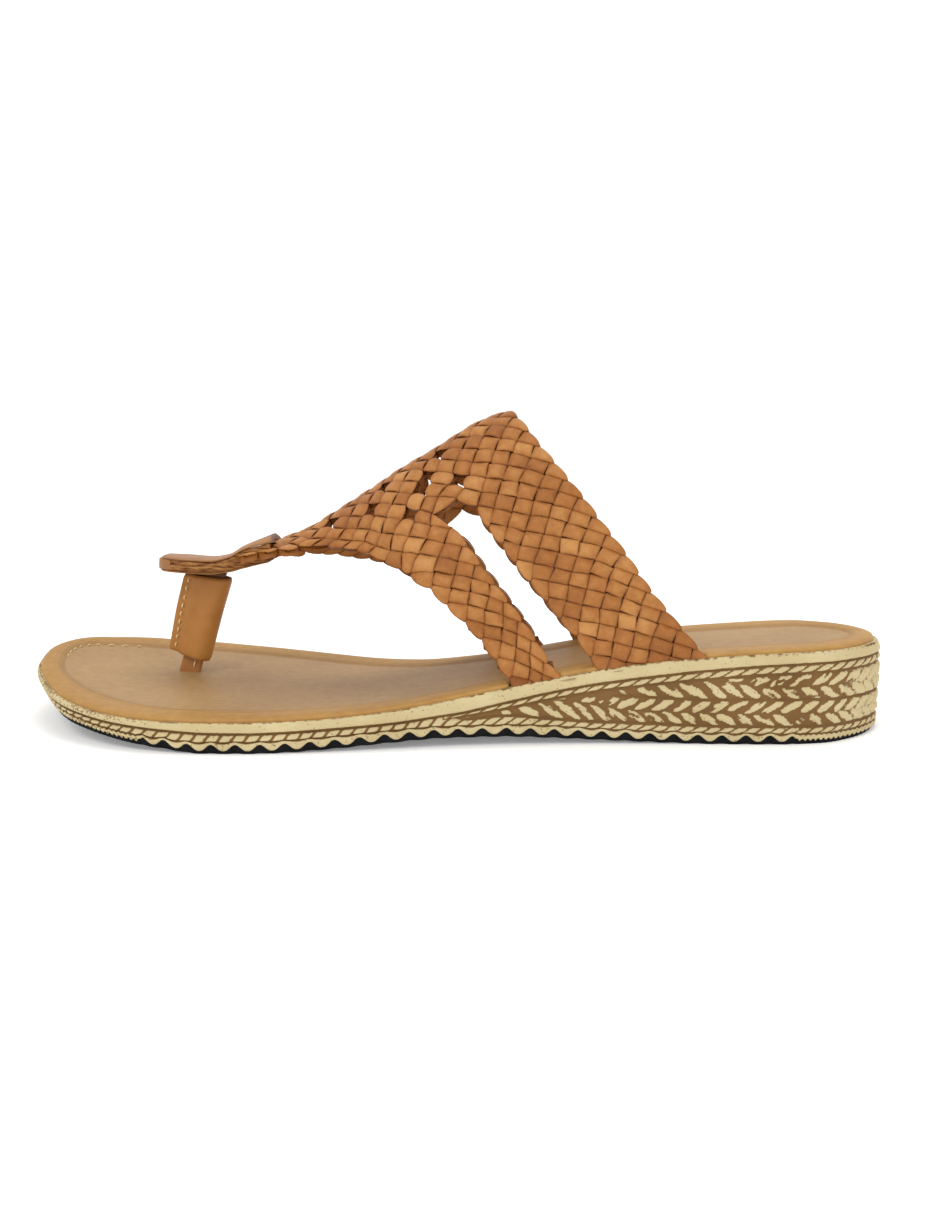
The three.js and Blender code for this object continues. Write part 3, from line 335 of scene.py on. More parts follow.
# Section of the footbed: step in from its edge and height over the sole
FOOTBED_PROFILE = (
    (0.0, -0.1), (0.0, 0.25), (0.05, 0.55), (0.35, 0.85), (0.9, 1.08), (1.8, 1.24),
    (3.0, 1.3), (4.4, 1.3), (5.6, 1.27), (6.3, 1.18), (6.6, 1.1), (6.9, 1.18),
    (7.6, 1.2), (8.3, 1.12), (8.6, 1.02), (8.9, 1.08), (9.6, 0.98), (10.3, 0.78),
    (11.0, 0.56), (11.5, 0.5), (12.4, 0.5), (14.0, 0.5), (17.0, 0.5), (20.0, 0.48),
)
RIM_CREASES = (6.6, 8.6)

# Ridge of the upper from the throat to the toe tab
RIDGE_POINTS = np.array([
    (15.3, 2.5, 91.3), (7, 3.1, 88.3), (-2, 3.7, 82.9), (-17, 4.8, 74.1), (-32.4, 6.0, 64.3),
    (-45, 7.0, 56.6), (-54.7, 7.8, 52.6), (-64.5, 8.6, 49.2), (-70.5, 9.0, 46.6),
    (-76, 9.3, 45.6), (-84, 9.6, 46.0), (-94, 9.8, 46.5),
])
RIDGE_STEPS = np.linalg.norm(np.diff(RIDGE_POINTS, axis=0), axis=1)
RIDGE_RUN = np.concatenate([[0], np.cumsum(RIDGE_STEPS)])
RIDGE = curves_of(("x", "y", "z"), np.column_stack([RIDGE_RUN, RIDGE_POINTS]))

ARCH = curves_of(
    ("lean", "width", "roll"),
    [
        (0, 0.777, 1, 0), (25, 0.75, 1, 0), (47, 0.727, 1, 0),
        (55, 0.67, 0.82, 0), (62, 0.60, 0.68, 0), (70, 0.50, 0.66, 0),
        (75, 0.44, 0.75, 0.01), (80, 0.38, 0.9, 0.02), (88, 0.25, 1.3, 0.05),
        (96, 0.12, 1.9, 0.06), (118, 0.05, 2.0, 0.06),
    ],
)

# Run along the ridge of each row of the weave
ROWS = monotone_curve([0, 7, 10, 14, 22, 34], [0.4, 24.9, 34.6, 46.8, 73.6, 113.6])

# How far the front edge's rows step forward and how wide they are
FRONT_EDGE = curves_of(
    ("push", "stretch"),
    [
        (10, 0, 1), (12, 1.5, 1), (13, 2.7, 1), (14, 4.0, 1), (15, 2.5, 1), (16, 1.7, 0.92),
        (17, 0.7, 0.86), (18, 0, 0.815), (19, -0.2, 0.79), (20, 0, 0.75), (21, 0.6, 0.78),
        (22, 1.2, 0.84), (24, 0.6, 0.83), (26, 0, 0.84), (34, 0, 0.80),
    ],
)

# Layout of the weave, in rows from the throat and nodes from the ridge
HOLES = {(7, 2), (7, 6), (9, 4), (10, 5), (12, 7), (13, 2), (15, 4), (19, 2)}
REAR_LAST = 7
FRONT_FIRST = 10
FRONT_LAST = 14
LAST_ROW = 34
HIDDEN_FROM = 29
PRESSED_FROM = 28
STRAP_NODES = 30
BRIDGE_NODES = 8
STRAP_EDGE_NODE = 12
TOE_EDGE_SUM = 26
TOE_EDGE_LEAST = 4
LANDING_NODE = 27
REAR_BOW = 1.5
REAR_BOW_AT = (75, 24)
STRAPS_CLOSE_FROM = 54
STRAPS_CLOSE_OVER = 24
SLOT_CORNER = 1.9
SLOT_CORNER_NODE = 8
SLOT_CORNER_REACH = 1.5
STRAP_BACK_STEP = 2.4
STRAP_BACK_STEP_RUN = (50, 92)
STRAP_FRONT_STEP = 2.2
STRAP_FRONT_STEP_AT = (72, 16)

# Heights of the tab's two layers over the form
TAB = curves_of(
    ("over", "under"),
    [
        (82, 1.7, -2.3), (86, 1.3, -2.7), (91.5, 0.9, -2.7),
        (95.5, 0.4, -2.2), (101, 0.34, -1.72), (117.4, 0.34, -1.72),
    ],
)

# The sleeve from its lower to its upper end
SLEEVE = curves_of(
    ("front", "back", "frontZ", "backZ", "y"),
    [
        (0, -90.9, -78.3, 18.0, 14.2, 8.8),
        (0.5, -88.6, -74.6, 29.3, 26.8, 9.2),
        (1, -85.3, -70.4, 41.8, 40.2, 9.6),
    ],
)


def within_sole(x):
    return np.clip(x, FIRST_X, LAST_X)


def sole_top(x, y):
    lateral = SOLE["lateral"](x)
    share = np.clip((y - lateral) / (SOLE["medial"](x) - lateral), 0, 1)
    return SOLE["topLateral"](x) * (1 - share) + SOLE["topMedial"](x) * share


def near_toe(x):
    return np.clip(1 - (x - TOE_TIP[0]) / TOE_LENGTH, 0, 1)


def near_heel(x):
    return np.clip(1 - (HEEL_TIP[0] - x) / HEEL_LENGTH, 0, 1)


# Meshes

def make_object(name, points, faces, material, attributes):
    """A smooth object, in metres, with named values at its points."""
    mesh = bpy.data.meshes.new(name)
    mesh.from_pydata(points, [], faces)
    mesh.validate()
    mesh.polygons.foreach_set("use_smooth", np.ones(len(mesh.polygons), bool))
    for label, values in attributes.items():
        layer = mesh.attributes.new(label, "FLOAT", "POINT")
        layer.data.foreach_set("value", np.asarray(values, np.float32).ravel())
    mesh.materials.append(material)
    piece = bpy.data.objects.new(name, mesh)
    bpy.context.scene.collection.objects.link(piece)
    return piece


def make_piece(name, points, quads, material, attributes):
    points = (np.asarray(points, float).reshape(-1, 3) + CENTRING) * MM
    return make_object(name, points, quads, material, attributes)


def grid_quads(rows, columns):
    r, c = np.meshgrid(np.arange(rows - 1), np.arange(columns - 1), indexing="ij")
    first = r * columns + c
    return np.stack([first, first + 1, first + columns + 1, first + columns], -1).reshape(-1, 4)


def loop_quads(rows, columns):
    """Quads between rows of points that each run right round."""
    r, c = np.meshgrid(np.arange(rows - 1), np.arange(columns), indexing="ij")
    first = r * columns + c
    later = r * columns + (c + 1) % columns
    return np.stack([first, later, later + columns, first + columns], -1).reshape(-1, 4)


def tube_quads(rows, count):
    """Quads of a tube with both ends closed."""
    caps = []
    for row, turn in ((0, 1), (rows - 1, -1)):
        ids = row * count + np.arange(count)
        for n in range(count // 2 - 1):
            caps.append([ids[n], ids[n + 1], ids[-n - 2], ids[-n - 1]][::turn])
    return np.vstack([loop_quads(rows, count), caps])


def mirrored(ring):
    """For each point of an outline, the one across from it."""
    count = len(ring)
    return ring[(count - np.arange(count)) % count]


def sheet_quads(rings, count):
    """Quads between outlines, with the last one closed straight across."""
    half = np.arange(count // 2)
    across = np.column_stack([half, half + 1, count - half - 1, (count - half) % count])
    return np.vstack([loop_quads(rings, count), (rings - 1) * count + across[1:-1]])


class Collected:
    """Many small grids that become one mesh."""

    def __init__(self):
        self.points = []
        self.quads = []
        self.values = {}
        self.count = 0

    def add(self, points, quads, **values):
        points = np.asarray(points, float).reshape(-1, 3)
        self.points.append(points)
        self.quads.append(np.asarray(quads) + self.count)
        for label, value in values.items():
            full = np.broadcast_to(np.asarray(value, float).ravel(), len(points))
            self.values.setdefault(label, []).append(full)
        self.count += len(points)

    def piece(self, name, material):
        attributes = {label: np.concatenate(parts) for label, parts in self.values.items()}
        points = np.concatenate(self.points)
        return make_piece(name, points, np.concatenate(self.quads), material, attributes)


# Materials

class Look:
    """A new material whose nodes are added one call at a time."""

    def __init__(self, name, roughness, coat=0.0, coat_roughness=0.3, specular=0.23):
        self.material = bpy.data.materials.new(name)
        self.material.use_nodes = True
        self.tree = self.material.node_tree
        self.shader = self.tree.nodes["Principled BSDF"]
        self.fill(self.shader, {
            "Roughness": roughness, "Coat Weight": coat, "Coat Roughness": coat_roughness,
            "Specular IOR Level": specular,
        })

    def fill(self, node, values):
        """Sets sockets to numbers or colours, or links them to outputs."""
        for key, value in values.items():
            socket = node.inputs[key]
            if isinstance(value, bpy.types.NodeSocket):
                self.tree.links.new(value, socket)
            elif socket.type == "RGBA":
                socket.default_value = (*value, 1)
            else:
                socket.default_value = value

    def node(self, kind, values, **settings):
        node = self.tree.nodes.new("ShaderNode" + kind)
        for label, value in settings.items():
            setattr(node, label, value)
        self.fill(node, values)
        return node

    def noise(self, scale, detail=4.0, roughness=0.55, distortion=0.0, stretch=(1, 1, 1)):
        place = self.node("TexCoord", {}).outputs["Object"]
        if stretch != (1, 1, 1):
            place = self.node("Mapping", {"Vector": place, "Scale": stretch}).outputs["Vector"]
        return self.node("TexNoise", {
            "Vector": place, "Scale": scale, "Detail": detail, "Roughness": roughness,
            "Distortion": distortion,
        }).outputs["Fac"]

    def ramp(self, source, *stops):
        ramp = self.node("ValToRGB", {"Fac": source})
        elements = ramp.color_ramp.elements
        while len(elements) < len(stops):
            elements.new(0.5)
        for element, (place, colour) in zip(elements, stops):
            element.position = place
            element.color = (*colour, 1)
        return ramp.outputs["Color"]

    def blend(self, source, colours, spread):
        """From the first to the second colour over a spread on each side of the middle."""
        return self.ramp(source, (0.5 - spread, colours[0]), (0.5 + spread, colours[1]))

    def mix(self, share, first, second):
        return self.node("Mix", {0: share, 6: first, 7: second}, data_type="RGBA").outputs[2]

    def maths(self, operation, *values):
        return self.node("Math", dict(enumerate(values)), operation=operation).outputs[0]

    def attribute(self, label):
        return self.node("Attribute", {}, attribute_name=label).outputs["Fac"]

    def colour(self, source):
        self.fill(self.shader, {"Base Color": source})

    def bump(self, height, strength, distance):
        bump = self.node("Bump", {"Strength": strength, "Distance": distance, "Height": height})
        self.fill(self.shader, {"Normal": bump.outputs["Normal"]})


def woven_material():
    look = Look("woven_leather", roughness=0.46, coat=0.06, coat_roughness=0.35)
    cloud_share = 0.8
    mottle_share = 0.75
    cloud = look.noise(scale=95, detail=3)
    mottle = look.noise(scale=420, detail=4, roughness=0.6)
    # tone holds each strip's own random tone and a painted highlight on its crown
    tone = look.maths("MULTIPLY_ADD", cloud, cloud_share, look.attribute("tone"))
    tone = look.maths("MULTIPLY_ADD", mottle, mottle_share, tone)
    tone = look.maths("SUBTRACT", tone, (cloud_share + mottle_share) / 2)
    colour = look.ramp(tone, (0.0, WOVEN_DARK), (0.5, WOVEN_MID), (1.0, WOVEN_LIGHT))
    # seam mixes in a dark brown: painted shade where the strips tuck under each other, on the
    # walls between them and on the core
    look.colour(look.mix(look.attribute("seam"), colour, WOVEN_SEAM_SHADE))
    grain = look.noise(scale=1000, detail=5, roughness=0.6)
    wrinkle = look.noise(scale=380, detail=3, distortion=1.6)
    height = look.maths("MULTIPLY_ADD", grain, 0.3, wrinkle)
    look.bump(height, strength=0.75, distance=0.0005)
    return look.material


def plain_leather(name, colours, roughness, scale=140, bump=0.25, coat=0.05):
    look = Look(name, roughness, coat=coat, coat_roughness=0.4)
    colour = look.blend(look.noise(scale), colours, spread=0.2)
    deep = tuple(part * 0.45 for part in colours[0])
    look.colour(look.mix(look.attribute("shade"), colour, deep))
    grain = look.noise(scale=1100, detail=5, roughness=0.6)
    look.bump(grain, strength=bump, distance=0.00016)
    return look.material


def raw_material():
    look = Look("raw_leather", roughness=0.75)
    fibre = look.noise(scale=700, detail=5, roughness=0.5, stretch=(0.35, 1.0, 2.2))
    look.colour(look.ramp(fibre, (0.38, RAW_DARK), (0.52, RAW_MID), (0.70, RAW_LIGHT)))
    look.bump(fibre, strength=0.7, distance=0.0006)
    return look.material


def footbed_material():
    look = Look("footbed_leather", roughness=0.55, coat=0.04, coat_roughness=0.45)
    cloud = look.noise(scale=26)
    mottle = look.noise(scale=420, detail=3)
    tone = look.maths("MULTIPLY", cloud, 0.6)
    tone = look.maths("MULTIPLY_ADD", mottle, 0.4, tone)
    rim = look.blend(tone, RIM_LEATHER, spread=0.15)
    field = look.blend(tone, FIELD_LEATHER, spread=0.15)
    colour = look.mix(look.attribute("field"), rim, field)
    look.colour(look.mix(look.attribute("shade"), colour, FOOTBED_SHADE))
    grain = look.noise(scale=1000, detail=5, roughness=0.6)
    look.bump(grain, strength=0.22, distance=0.00016)
    return look.material


def sole_material():
    look = Look("sole_cream", roughness=0.72)
    wash_from = 0.36
    contrast = 3.6
    cloud = look.noise(scale=60)
    cream = look.blend(cloud, CREAM, spread=0.15)
    brown = look.blend(cloud, WASH, spread=0.15)
    fine = look.noise(scale=900, detail=3)
    ragged = look.maths("ADD", look.maths("SUBTRACT", fine, 0.5), look.attribute("wash"))
    share = look.maths("MULTIPLY", look.maths("SUBTRACT", ragged, wash_from), contrast)
    share = look.maths("SMOOTH_MAX", 0.0, share, 0.05)
    share = look.maths("MINIMUM", share, 1.0)
    speck = look.noise(scale=1500, detail=2)
    threshold = look.maths("MULTIPLY_ADD", look.attribute("speckle"), -0.22, 0.68)
    specks = look.maths("MULTIPLY", 0.75, look.maths("GREATER_THAN", speck, threshold))
    share = look.maths("MAXIMUM", share, specks)
    look.colour(look.mix(share, cream, brown))
    look.bump(fine, strength=0.25, distance=0.0002)
    return look.material


def tread_material():
    look = Look("tread_rubber", roughness=0.9, specular=0.08)
    cloud = look.noise(scale=300)
    look.colour(look.blend(cloud, RUBBER, spread=0.2))
    look.bump(cloud, strength=0.2, distance=0.0002)
    return look.material


def thread_material():
    look = Look("thread", roughness=0.7)
    look.colour(look.blend(look.noise(scale=1800, detail=2), THREAD, spread=0.2))
    return look.material


def studio_material():
    look = Look("floor_paper", roughness=0.9)
    white = look.blend(look.noise(scale=6, detail=2), PAPER, spread=0.3)
    wall = look.attribute("wall")
    look.colour(look.mix(wall, white, WALL_PAPER))
    glow = look.maths("MULTIPLY_ADD", wall, WALL_GLOW - FLOOR_GLOW, FLOOR_GLOW)
    look.fill(look.shader, {"Emission Color": WHITE, "Emission Strength": glow})
    return look.material


# Outline of the sole, seen from above: toe tip, outer side, heel tip, inner side

def raw_outline():
    t = np.linspace(0, math.pi, OUTLINE_SAMPLES)
    xs = FIRST_X + (LAST_X - FIRST_X) * (1 - np.cos(t)) / 2
    lateral = np.column_stack([xs, SOLE["lateral"](xs)])
    medial = np.column_stack([xs, SOLE["medial"](xs)])[::-1]
    return np.vstack([[TOE_TIP], lateral, [HEEL_TIP], medial, [TOE_TIP]])


def sole_outline(step):
    """Even points round the sole, their inward directions and their run from the toe."""
    loop = raw_outline()
    run = np.concatenate([[0], np.cumsum(np.linalg.norm(np.diff(loop, axis=0), axis=1))])
    count = int(run[-1] / step)
    at = np.linspace(0, run[-1], count, endpoint=False)
    points = np.column_stack([np.interp(at, run, loop[:, 0]), np.interp(at, run, loop[:, 1])])
    reach = int(round(OUTLINE_SMOOTHING / step))
    kernel = np.exp(-0.5 * (np.arange(-reach, reach + 1) / (reach / OUTLINE_FALLOFF)) ** 2)
    kernel /= kernel.sum()
    rounded = np.zeros_like(points)
    for n, weight in zip(range(-reach, reach + 1), kernel):
        rounded += weight * np.roll(points, n, axis=0)
    along = np.roll(rounded, -1, axis=0) - np.roll(rounded, 1, axis=0)
    along /= np.linalg.norm(along, axis=1)[:, None]
    inward = np.column_stack([-along[:, 1], along[:, 0]])
    order = np.arange(count)
    spacing = run[-1] / count
    from_toe = np.where(order <= np.argmax(rounded[:, 0]), order, count - order) * spacing
    return rounded, inward, from_toe


def edge_tuck(x):
    """How far the sole's lower edge steps in."""
    return TUCK + TOE_TUCK * near_toe(x) + HEEL_TUCK * near_heel(x)


def rib_wave(x):
    """Height of the tread's edge over the sole's lowest line."""
    wave = (0.5 - 0.5 * np.cos((x - FIRST_RIB) / RIB_PITCH * TURN)) ** 1.25
    ribbed = plateau(x, FIRST_RIB, LAST_RIB, *RIB_FADE)
    fine = 0.5 - 0.5 * np.cos(x / SERRATION_PITCH * TURN)
    return RIB_DEPTH * wave * ribbed + SERRATION_DEPTH * fine * (1 - ribbed)


# Pattern on the side of the sole

def from_crown(run, pitch):
    """Distance from the nearest crown: 0 on it, 1 halfway to the next."""
    phase = run / pitch
    return np.abs(2 * (phase - np.floor(phase)) - 1)


def rope(run, q, height, pitch, slant):
    """Raised strands, from 0 in the gaps to 1 on the crowns. q runs up the band."""
    part = from_crown(run - slant * (q - 0.5) * height, pitch)
    across = np.clip(1 - (2 * q - 1) ** 2 * 1.15, 0, 1)
    lobe = np.clip(1 - (part / 0.86) ** 3, 0, 1)
    return np.sqrt(across) * lobe


def leaves(run, q, height, pitch, ragged):
    """Half a wheat-ear: q runs from its stem to its outer edge."""
    phase = (run - LEAF_LEAN * q * height) / pitch + 0.12 * ragged
    part = from_crown(phase, 1)
    width = 0.3 + 0.54 * np.sin(np.clip(q * 0.9 + 0.08, 0, 1) * math.pi)
    lobe = np.clip(1 - (part / np.clip(width, 0.1, 1)) ** 2.5, 0, 1)
    across = np.clip(1 - (2 * q - 1) ** 6, 0, 1)
    return np.clip(lobe * across + 0.3 * ragged, 0, 1)


class SidePattern:
    """Relief in millimetres, brown wash and specks for each point of the side."""

    def __init__(self, x, run, share, height):
        self.x = x
        self.run = run
        self.share = share
        self.height = height
        self.up = share * height
        self.band = {name: curve(x) for name, curve in BANDS.items()}
        self.wedge = smooth_step(*WEDGE_RISES, x)
        flat_top = self.band["bandFoot"] * (1 - self.wedge)
        self.low_top = flat_top + self.band["leafFoot"] * self.wedge
        broad = noise_uv(run * 0.35, self.up * 0.9, 3)
        close = noise_uv(run * 1.1, self.up * 1.4, 5)
        self.wobble = broad * 0.5 + close * 0.6
        self.worn = smooth_step(*HEEL_WEARS, x)
        self.relief = np.zeros_like(share)
        self.wash = np.zeros_like(share)
        self.speckle = np.zeros_like(share)

    def within(self, low, high):
        return np.clip((self.share - low) / np.maximum(high - low, 1e-4), 0, 1)

    def put(self, here, relief, wash):
        self.relief = np.where(here, relief, self.relief)
        self.wash = np.where(here, wash, self.wash)

    def add_rope(self, low, high, pitch, slant, strength=1, here=True):
        q = self.within(low, high)
        run = self.run + 0.15 * self.wobble
        strand = rope(run, q, (high - low) * self.height, pitch, slant) * strength
        here = (self.share > low) & (self.share < high) & here
        self.put(here, ROPE_RELIEF * (strand - 0.8), 1 - strand * 1.5)

    def add_leaves(self, low, high, lower_from, upper_from, pitch):
        """A wheat-ear: leaves on both sides of a stem, worn in streaks."""
        bottom = self.band[low]
        top = self.band[high]
        single = 1 - smooth_step(upper_from - 6, upper_from + 14, self.x)
        stem = bottom + (top - bottom) * (0.5 + 0.5 * single)
        lower = leaves(self.run, 1 - self.within(bottom, stem), (stem - bottom) * self.height,
                       pitch, self.wobble)
        upper = leaves(self.run + pitch / 2, self.within(stem, top), (top - stem) * self.height,
                       pitch, self.wobble)
        lower = lower * smooth_step(lower_from - 3, lower_from + 5, self.x)
        upper = upper * smooth_step(upper_from - 2, upper_from + 5, self.x)
        is_lower = self.share < stem
        leaf = np.where(is_lower, lower, upper)
        run = self.run + np.where(is_lower, LEAF_LEAN, -LEAF_LEAN) * self.up
        streak = noise_uv(run * 1.15, self.up * 0.5, 41)
        streak = streak + 0.8 * noise_uv(run * 0.5, self.up * 1.1, 43)
        wear = LEAF_WEAR * np.clip(streak, 0, 1) * (1 - 0.6 * self.worn)
        leaf = np.clip(leaf - wear, 0, 1)
        here = (self.share > bottom) & (self.share < top)
        here = here & ((top - bottom) * self.height > LEAST_LEAF)
        wash = (1 - leaf * 1.45) * (1 - 0.55 * self.worn)
        self.put(here, LEAF_RELIEF * (leaf - 0.75), wash)

    def add_groove(self, place, strength):
        away = (self.share - place) * self.height / GROOVE_REACH
        dip = np.exp(-away * away) * strength
        self.relief = self.relief - GROOVE_DEPTH * dip * (1 - 0.35 * (self.wash > 0.5))
        self.wash = np.maximum(self.wash, dip * 1.25)

    def add_top_band(self):
        """The plain rounded band above the others."""
        foot = self.band["bandFoot"]
        swell = BAND_SWELL * np.sin(math.pi * self.within(foot, 1.0)) ** 0.7
        self.relief = self.relief + np.where(self.share > foot, swell, 0)

    def add_specks(self):
        """Specks near the toe and under the bands."""
        foot = self.band["bandFoot"]
        toe_share = 1 - smooth_step(*TOE_SPECKS_END, self.x)
        on_top = toe_share * (0.25 + 0.75 * self.within(foot, 1.0))
        speckle = np.where(self.share > foot, on_top, 0)
        below = self.share < self.band["lowRopeFoot"]
        speckle = speckle + np.where(below, 0.25 + 0.4 * toe_share, 0)
        patchy = noise_uv(self.run * 0.2, self.up * 0.7, 9)
        self.speckle = speckle * np.clip(patchy + 0.8, 0, 1)

    def finish_wash(self):
        wash = self.wash + 0.16 * self.wobble
        edge = smooth_step(*EDGE_DARKENS, self.share) * (0.55 + 0.5 * self.wobble)
        self.wash = np.clip(np.maximum(wash, edge), 0, 1.3)


def side_pattern(x, run, share, height):
    side = SidePattern(x, run, share, height)
    band = side.band
    side.add_rope(band["lowRopeFoot"], side.low_top, LOW_ROPE_PITCH, 0.75 + 0.7 * side.wedge)
    side.add_rope(band["ropeFoot"], band["bandFoot"], UPPER_ROPE_PITCH, UPPER_ROPE_SLANT,
                  strength=smooth_step(-2, 3, x), here=x > UPPER_ROPE_FROM)
    for row in LEAF_ROWS:
        side.add_leaves(*row)
    side.add_groove(band["bandFoot"], 1)
    side.add_groove(band["lowRopeFoot"], 1)
    side.add_groove(side.low_top, side.wedge)
    side.add_groove(band["ropeFoot"], smooth_step(-1, 5, x))
    side.add_groove(band["leafMiddle"], smooth_step(40, 50, x))
    side.add_top_band()
    side.add_specks()
    side.finish_wash()
    return side


# Sole and tread

def side_points(points, inward, x, base, top, share, relief):
    height = top - base
    proud = PROUD + HEEL_PROUD * near_heel(x)
    inset = edge_tuck(x) * (1 - share) ** 1.8 - proud * (1 - share ** 9)
    rounding = BOTTOM_ROUND * np.clip(1 - share * height / BOTTOM_ROUND_HEIGHT, 0, 1) ** 2
    depth = inset + rounding - relief * (1 - share ** 30)
    flat = points[None] + inward[None] * depth[..., None]
    lift = rib_wave(x) + TREAD_SHOWS * (1 - near_toe(x))
    low = base + lift * np.clip(1 - share * height / RIB_REACH, 0, 1)
    return np.dstack([flat, low + share * height])


def build_sole():
    points, inward, from_toe = sole_outline(SIDE_STEP)
    count = len(points)
    x = points[:, 0]
    top = sole_top(within_sole(x), points[:, 1]) - SIDE_TOP_GAP
    base = SOLE["bottom"](within_sole(x))
    share = np.linspace(0, 1, SIDE_LEVELS)[:, None]
    size = (SIDE_LEVELS, count)
    pattern = side_pattern(
        np.broadcast_to(within_sole(x), size), np.broadcast_to(from_toe, size),
        np.broadcast_to(share, size), np.broadcast_to(top - base, size),
    )
    side = side_points(points, inward, x, base, top, share, pattern.relief)
    lip = np.column_stack([points + inward * LIP_WIDTH, top - SIDE_TOP_GAP])
    pad = np.zeros((1, count))
    quads = loop_quads(SIDE_LEVELS + 1, count)
    piece = make_piece("sole_side", np.vstack([side, lip[None]]), quads, sole_material(), {
        "wash": np.vstack([pattern.wash, pad]), "speckle": np.vstack([pattern.speckle, pad]),
    })
    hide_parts("sole")
    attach(piece, "root")


def build_tread():
    points, inward, _ = sole_outline(SIDE_STEP)
    count = len(points)
    edge = points + inward * (edge_tuck(points[:, 0]) + TREAD_INSET)[:, None]
    rings = []
    for part in (0, 0.06, 0.3, 0.6, 0.95):
        flat = edge * (1 - part / 2) + mirrored(edge) * (part / 2)
        z = SOLE["bottom"](within_sole(flat[:, 0])) + rib_wave(flat[:, 0]) * TREAD_WAVE
        rings.append(np.column_stack([flat, np.maximum(z, TREAD_LIFT)]))
    grid = np.array([rings[0] + np.array([0, 0, TREAD_WALL]), *rings])
    quads = sheet_quads(len(grid), count)[:, ::-1]
    piece = make_piece("tread", grid, quads, tread_material(), {})
    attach(piece, "root")


# Footbed: a rounded rim round a slightly lower field

def strap_notch(x, side):
    """How far the footbed's edge steps in to let the straps past."""
    total = np.zeros_like(x)
    for first, last in LANDINGS[side]:
        total = np.maximum(total, plateau(x, first, last, *NOTCH_ROUND))
    return NOTCH_DEPTH * total


def rim_narrowing(x):
    """The rim's width as a share of its full width."""
    wide = RIM_AT_TOE + (1 - RIM_AT_TOE) * smooth_step(*RIM_WIDENS, x)
    return wide - RIM_HEEL_LOSS * smooth_step(*RIM_NARROWS, x)


def footbed_ring(points, inward, notch, inset, height):
    x = points[:, 0]
    step = inset * rim_narrowing(x) + np.maximum(notch - inset * 0.25, 0) + FOOTBED_INSET
    step = step + HEEL_STEP_IN * near_heel(x)
    flat = points + inward * step[:, None]
    z = sole_top(within_sole(flat[:, 0]), flat[:, 1])
    z = z + height * (1 + HEEL_RIM_RISE * near_heel(x))
    return np.column_stack([flat, z])


def footbed_shade(inset):
    """Darker in the rim's creases and on its slope down to the field."""
    slope = SLOPE_SHADE * smooth_step(7.0, 9.5, inset) * (1 - smooth_step(10.8, 11.6, inset))
    return CREASE_SHADE * (inset in RIM_CREASES) + slope


def build_footbed():
    points, inward, _ = sole_outline(FOOTBED_STEP)
    count = len(points)
    x = points[:, 0]
    outer = np.arange(count) <= np.argmax(x)
    notch = np.where(outer, strap_notch(x, -1), strap_notch(x, 1))
    rings = []
    field = []
    shade = []
    for inset, height in FOOTBED_PROFILE:
        rings.append(footbed_ring(points, inward, notch, inset, height))
        field.append(np.full(count, smooth_step(10.2, 11.4, np.array(inset))))
        shade.append(np.full(count, footbed_shade(inset)))
    last = rings[-1]
    for part in (0.2, 0.4, 0.6, 0.8):
        rings.append(last * (1 - part / 2) + mirrored(last) * (part / 2))
        field.append(np.ones(count))
        shade.append(np.zeros(count))
    grid = np.array(rings)
    lumps = noise_uv(grid[..., 0] * 0.05, grid[..., 1] * 0.05, 21) * FIELD_LUMPS
    grid[..., 2] += lumps * np.clip(np.arange(len(grid))[:, None] / 10, 0, 1)
    quads = sheet_quads(len(grid), count)
    piece = make_piece("footbed_leather", grid, quads, footbed_material(), {
        "field": np.array(field), "shade": np.array(shade),
    })
    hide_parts("footbed")
    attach(piece, "root")
    return points, inward


# Form of the upper, unrolled as (c, s), sampled once on a fine grid

def arch_points(cs, top, side, edge_of, height_of):
    """Sections of the form from the ridge to the sole; their feet are found step by step."""
    lean = ARCH["lean"](cs)
    foot = top[:, 0]
    for _ in range(FOOT_ROUNDS):
        x = np.clip(foot, TOE_TIP[0] + TIP_MARGIN, HEEL_TIP[0] - TIP_MARGIN)
        edge = edge_of(x) - side * STRAP_INSET
        aim = top[:, 0] + lean * (top[:, 2] - height_of(x)) - SKEW * (edge - top[:, 1])
        foot = (foot + aim) / 2
    span = (edge_of(foot) - side * STRAP_INSET - top[:, 1]) * ARCH["width"](cs)
    drop = top[:, 2] - height_of(foot)
    share = np.linspace(0, 1, ARCH_STEPS + 1)[None, :]
    angle = share * math.pi / 2
    out = span[:, None] * ((1 - ARCH_SPREAD) * np.sin(angle) + ARCH_SPREAD * share)
    down = drop[:, None] * (1 - np.cos(angle))
    return np.dstack([
        top[:, 0, None] + lean[:, None] * down - SKEW * out,
        top[:, 1, None] + out,
        top[:, 2, None] - down - ARCH["roll"](cs)[:, None] * out,
    ])


def form_grids():
    """For each side, points at even steps of c and s, and the run down to the sole."""
    cs = np.arange(FORM_FROM, FORM_TO, FORM_STEP)
    ss = np.arange(0, FORM_REACH, FORM_STEP)
    top = np.column_stack([RIDGE["x"](cs), RIDGE["y"](cs), RIDGE["z"](cs)])
    grids = {}
    for side, edge, height in ((-1, "lateral", "topLateral"), (1, "medial", "topMedial")):
        points = arch_points(cs, top, side, SOLE[edge], SOLE[height])
        steps = np.linalg.norm(np.diff(points, axis=1), axis=2)
        runs = np.concatenate([np.zeros((len(cs), 1)), np.cumsum(steps, axis=1)], axis=1)
        grid = np.zeros((len(cs), len(ss), 3))
        for n in range(len(cs)):
            last = (points[n, -1] - points[n, -2]) / (runs[n, -1] - runs[n, -2])
            for axis in range(3):
                grid[n, :, axis] = np.interp(ss, runs[n], points[n, :, axis])
            beyond = np.clip(ss - runs[n, -1], 0, None)
            grid[n] += beyond[:, None] * last
        grids[side] = (grid, runs[:, -1])
    return grids


FORM = form_grids()


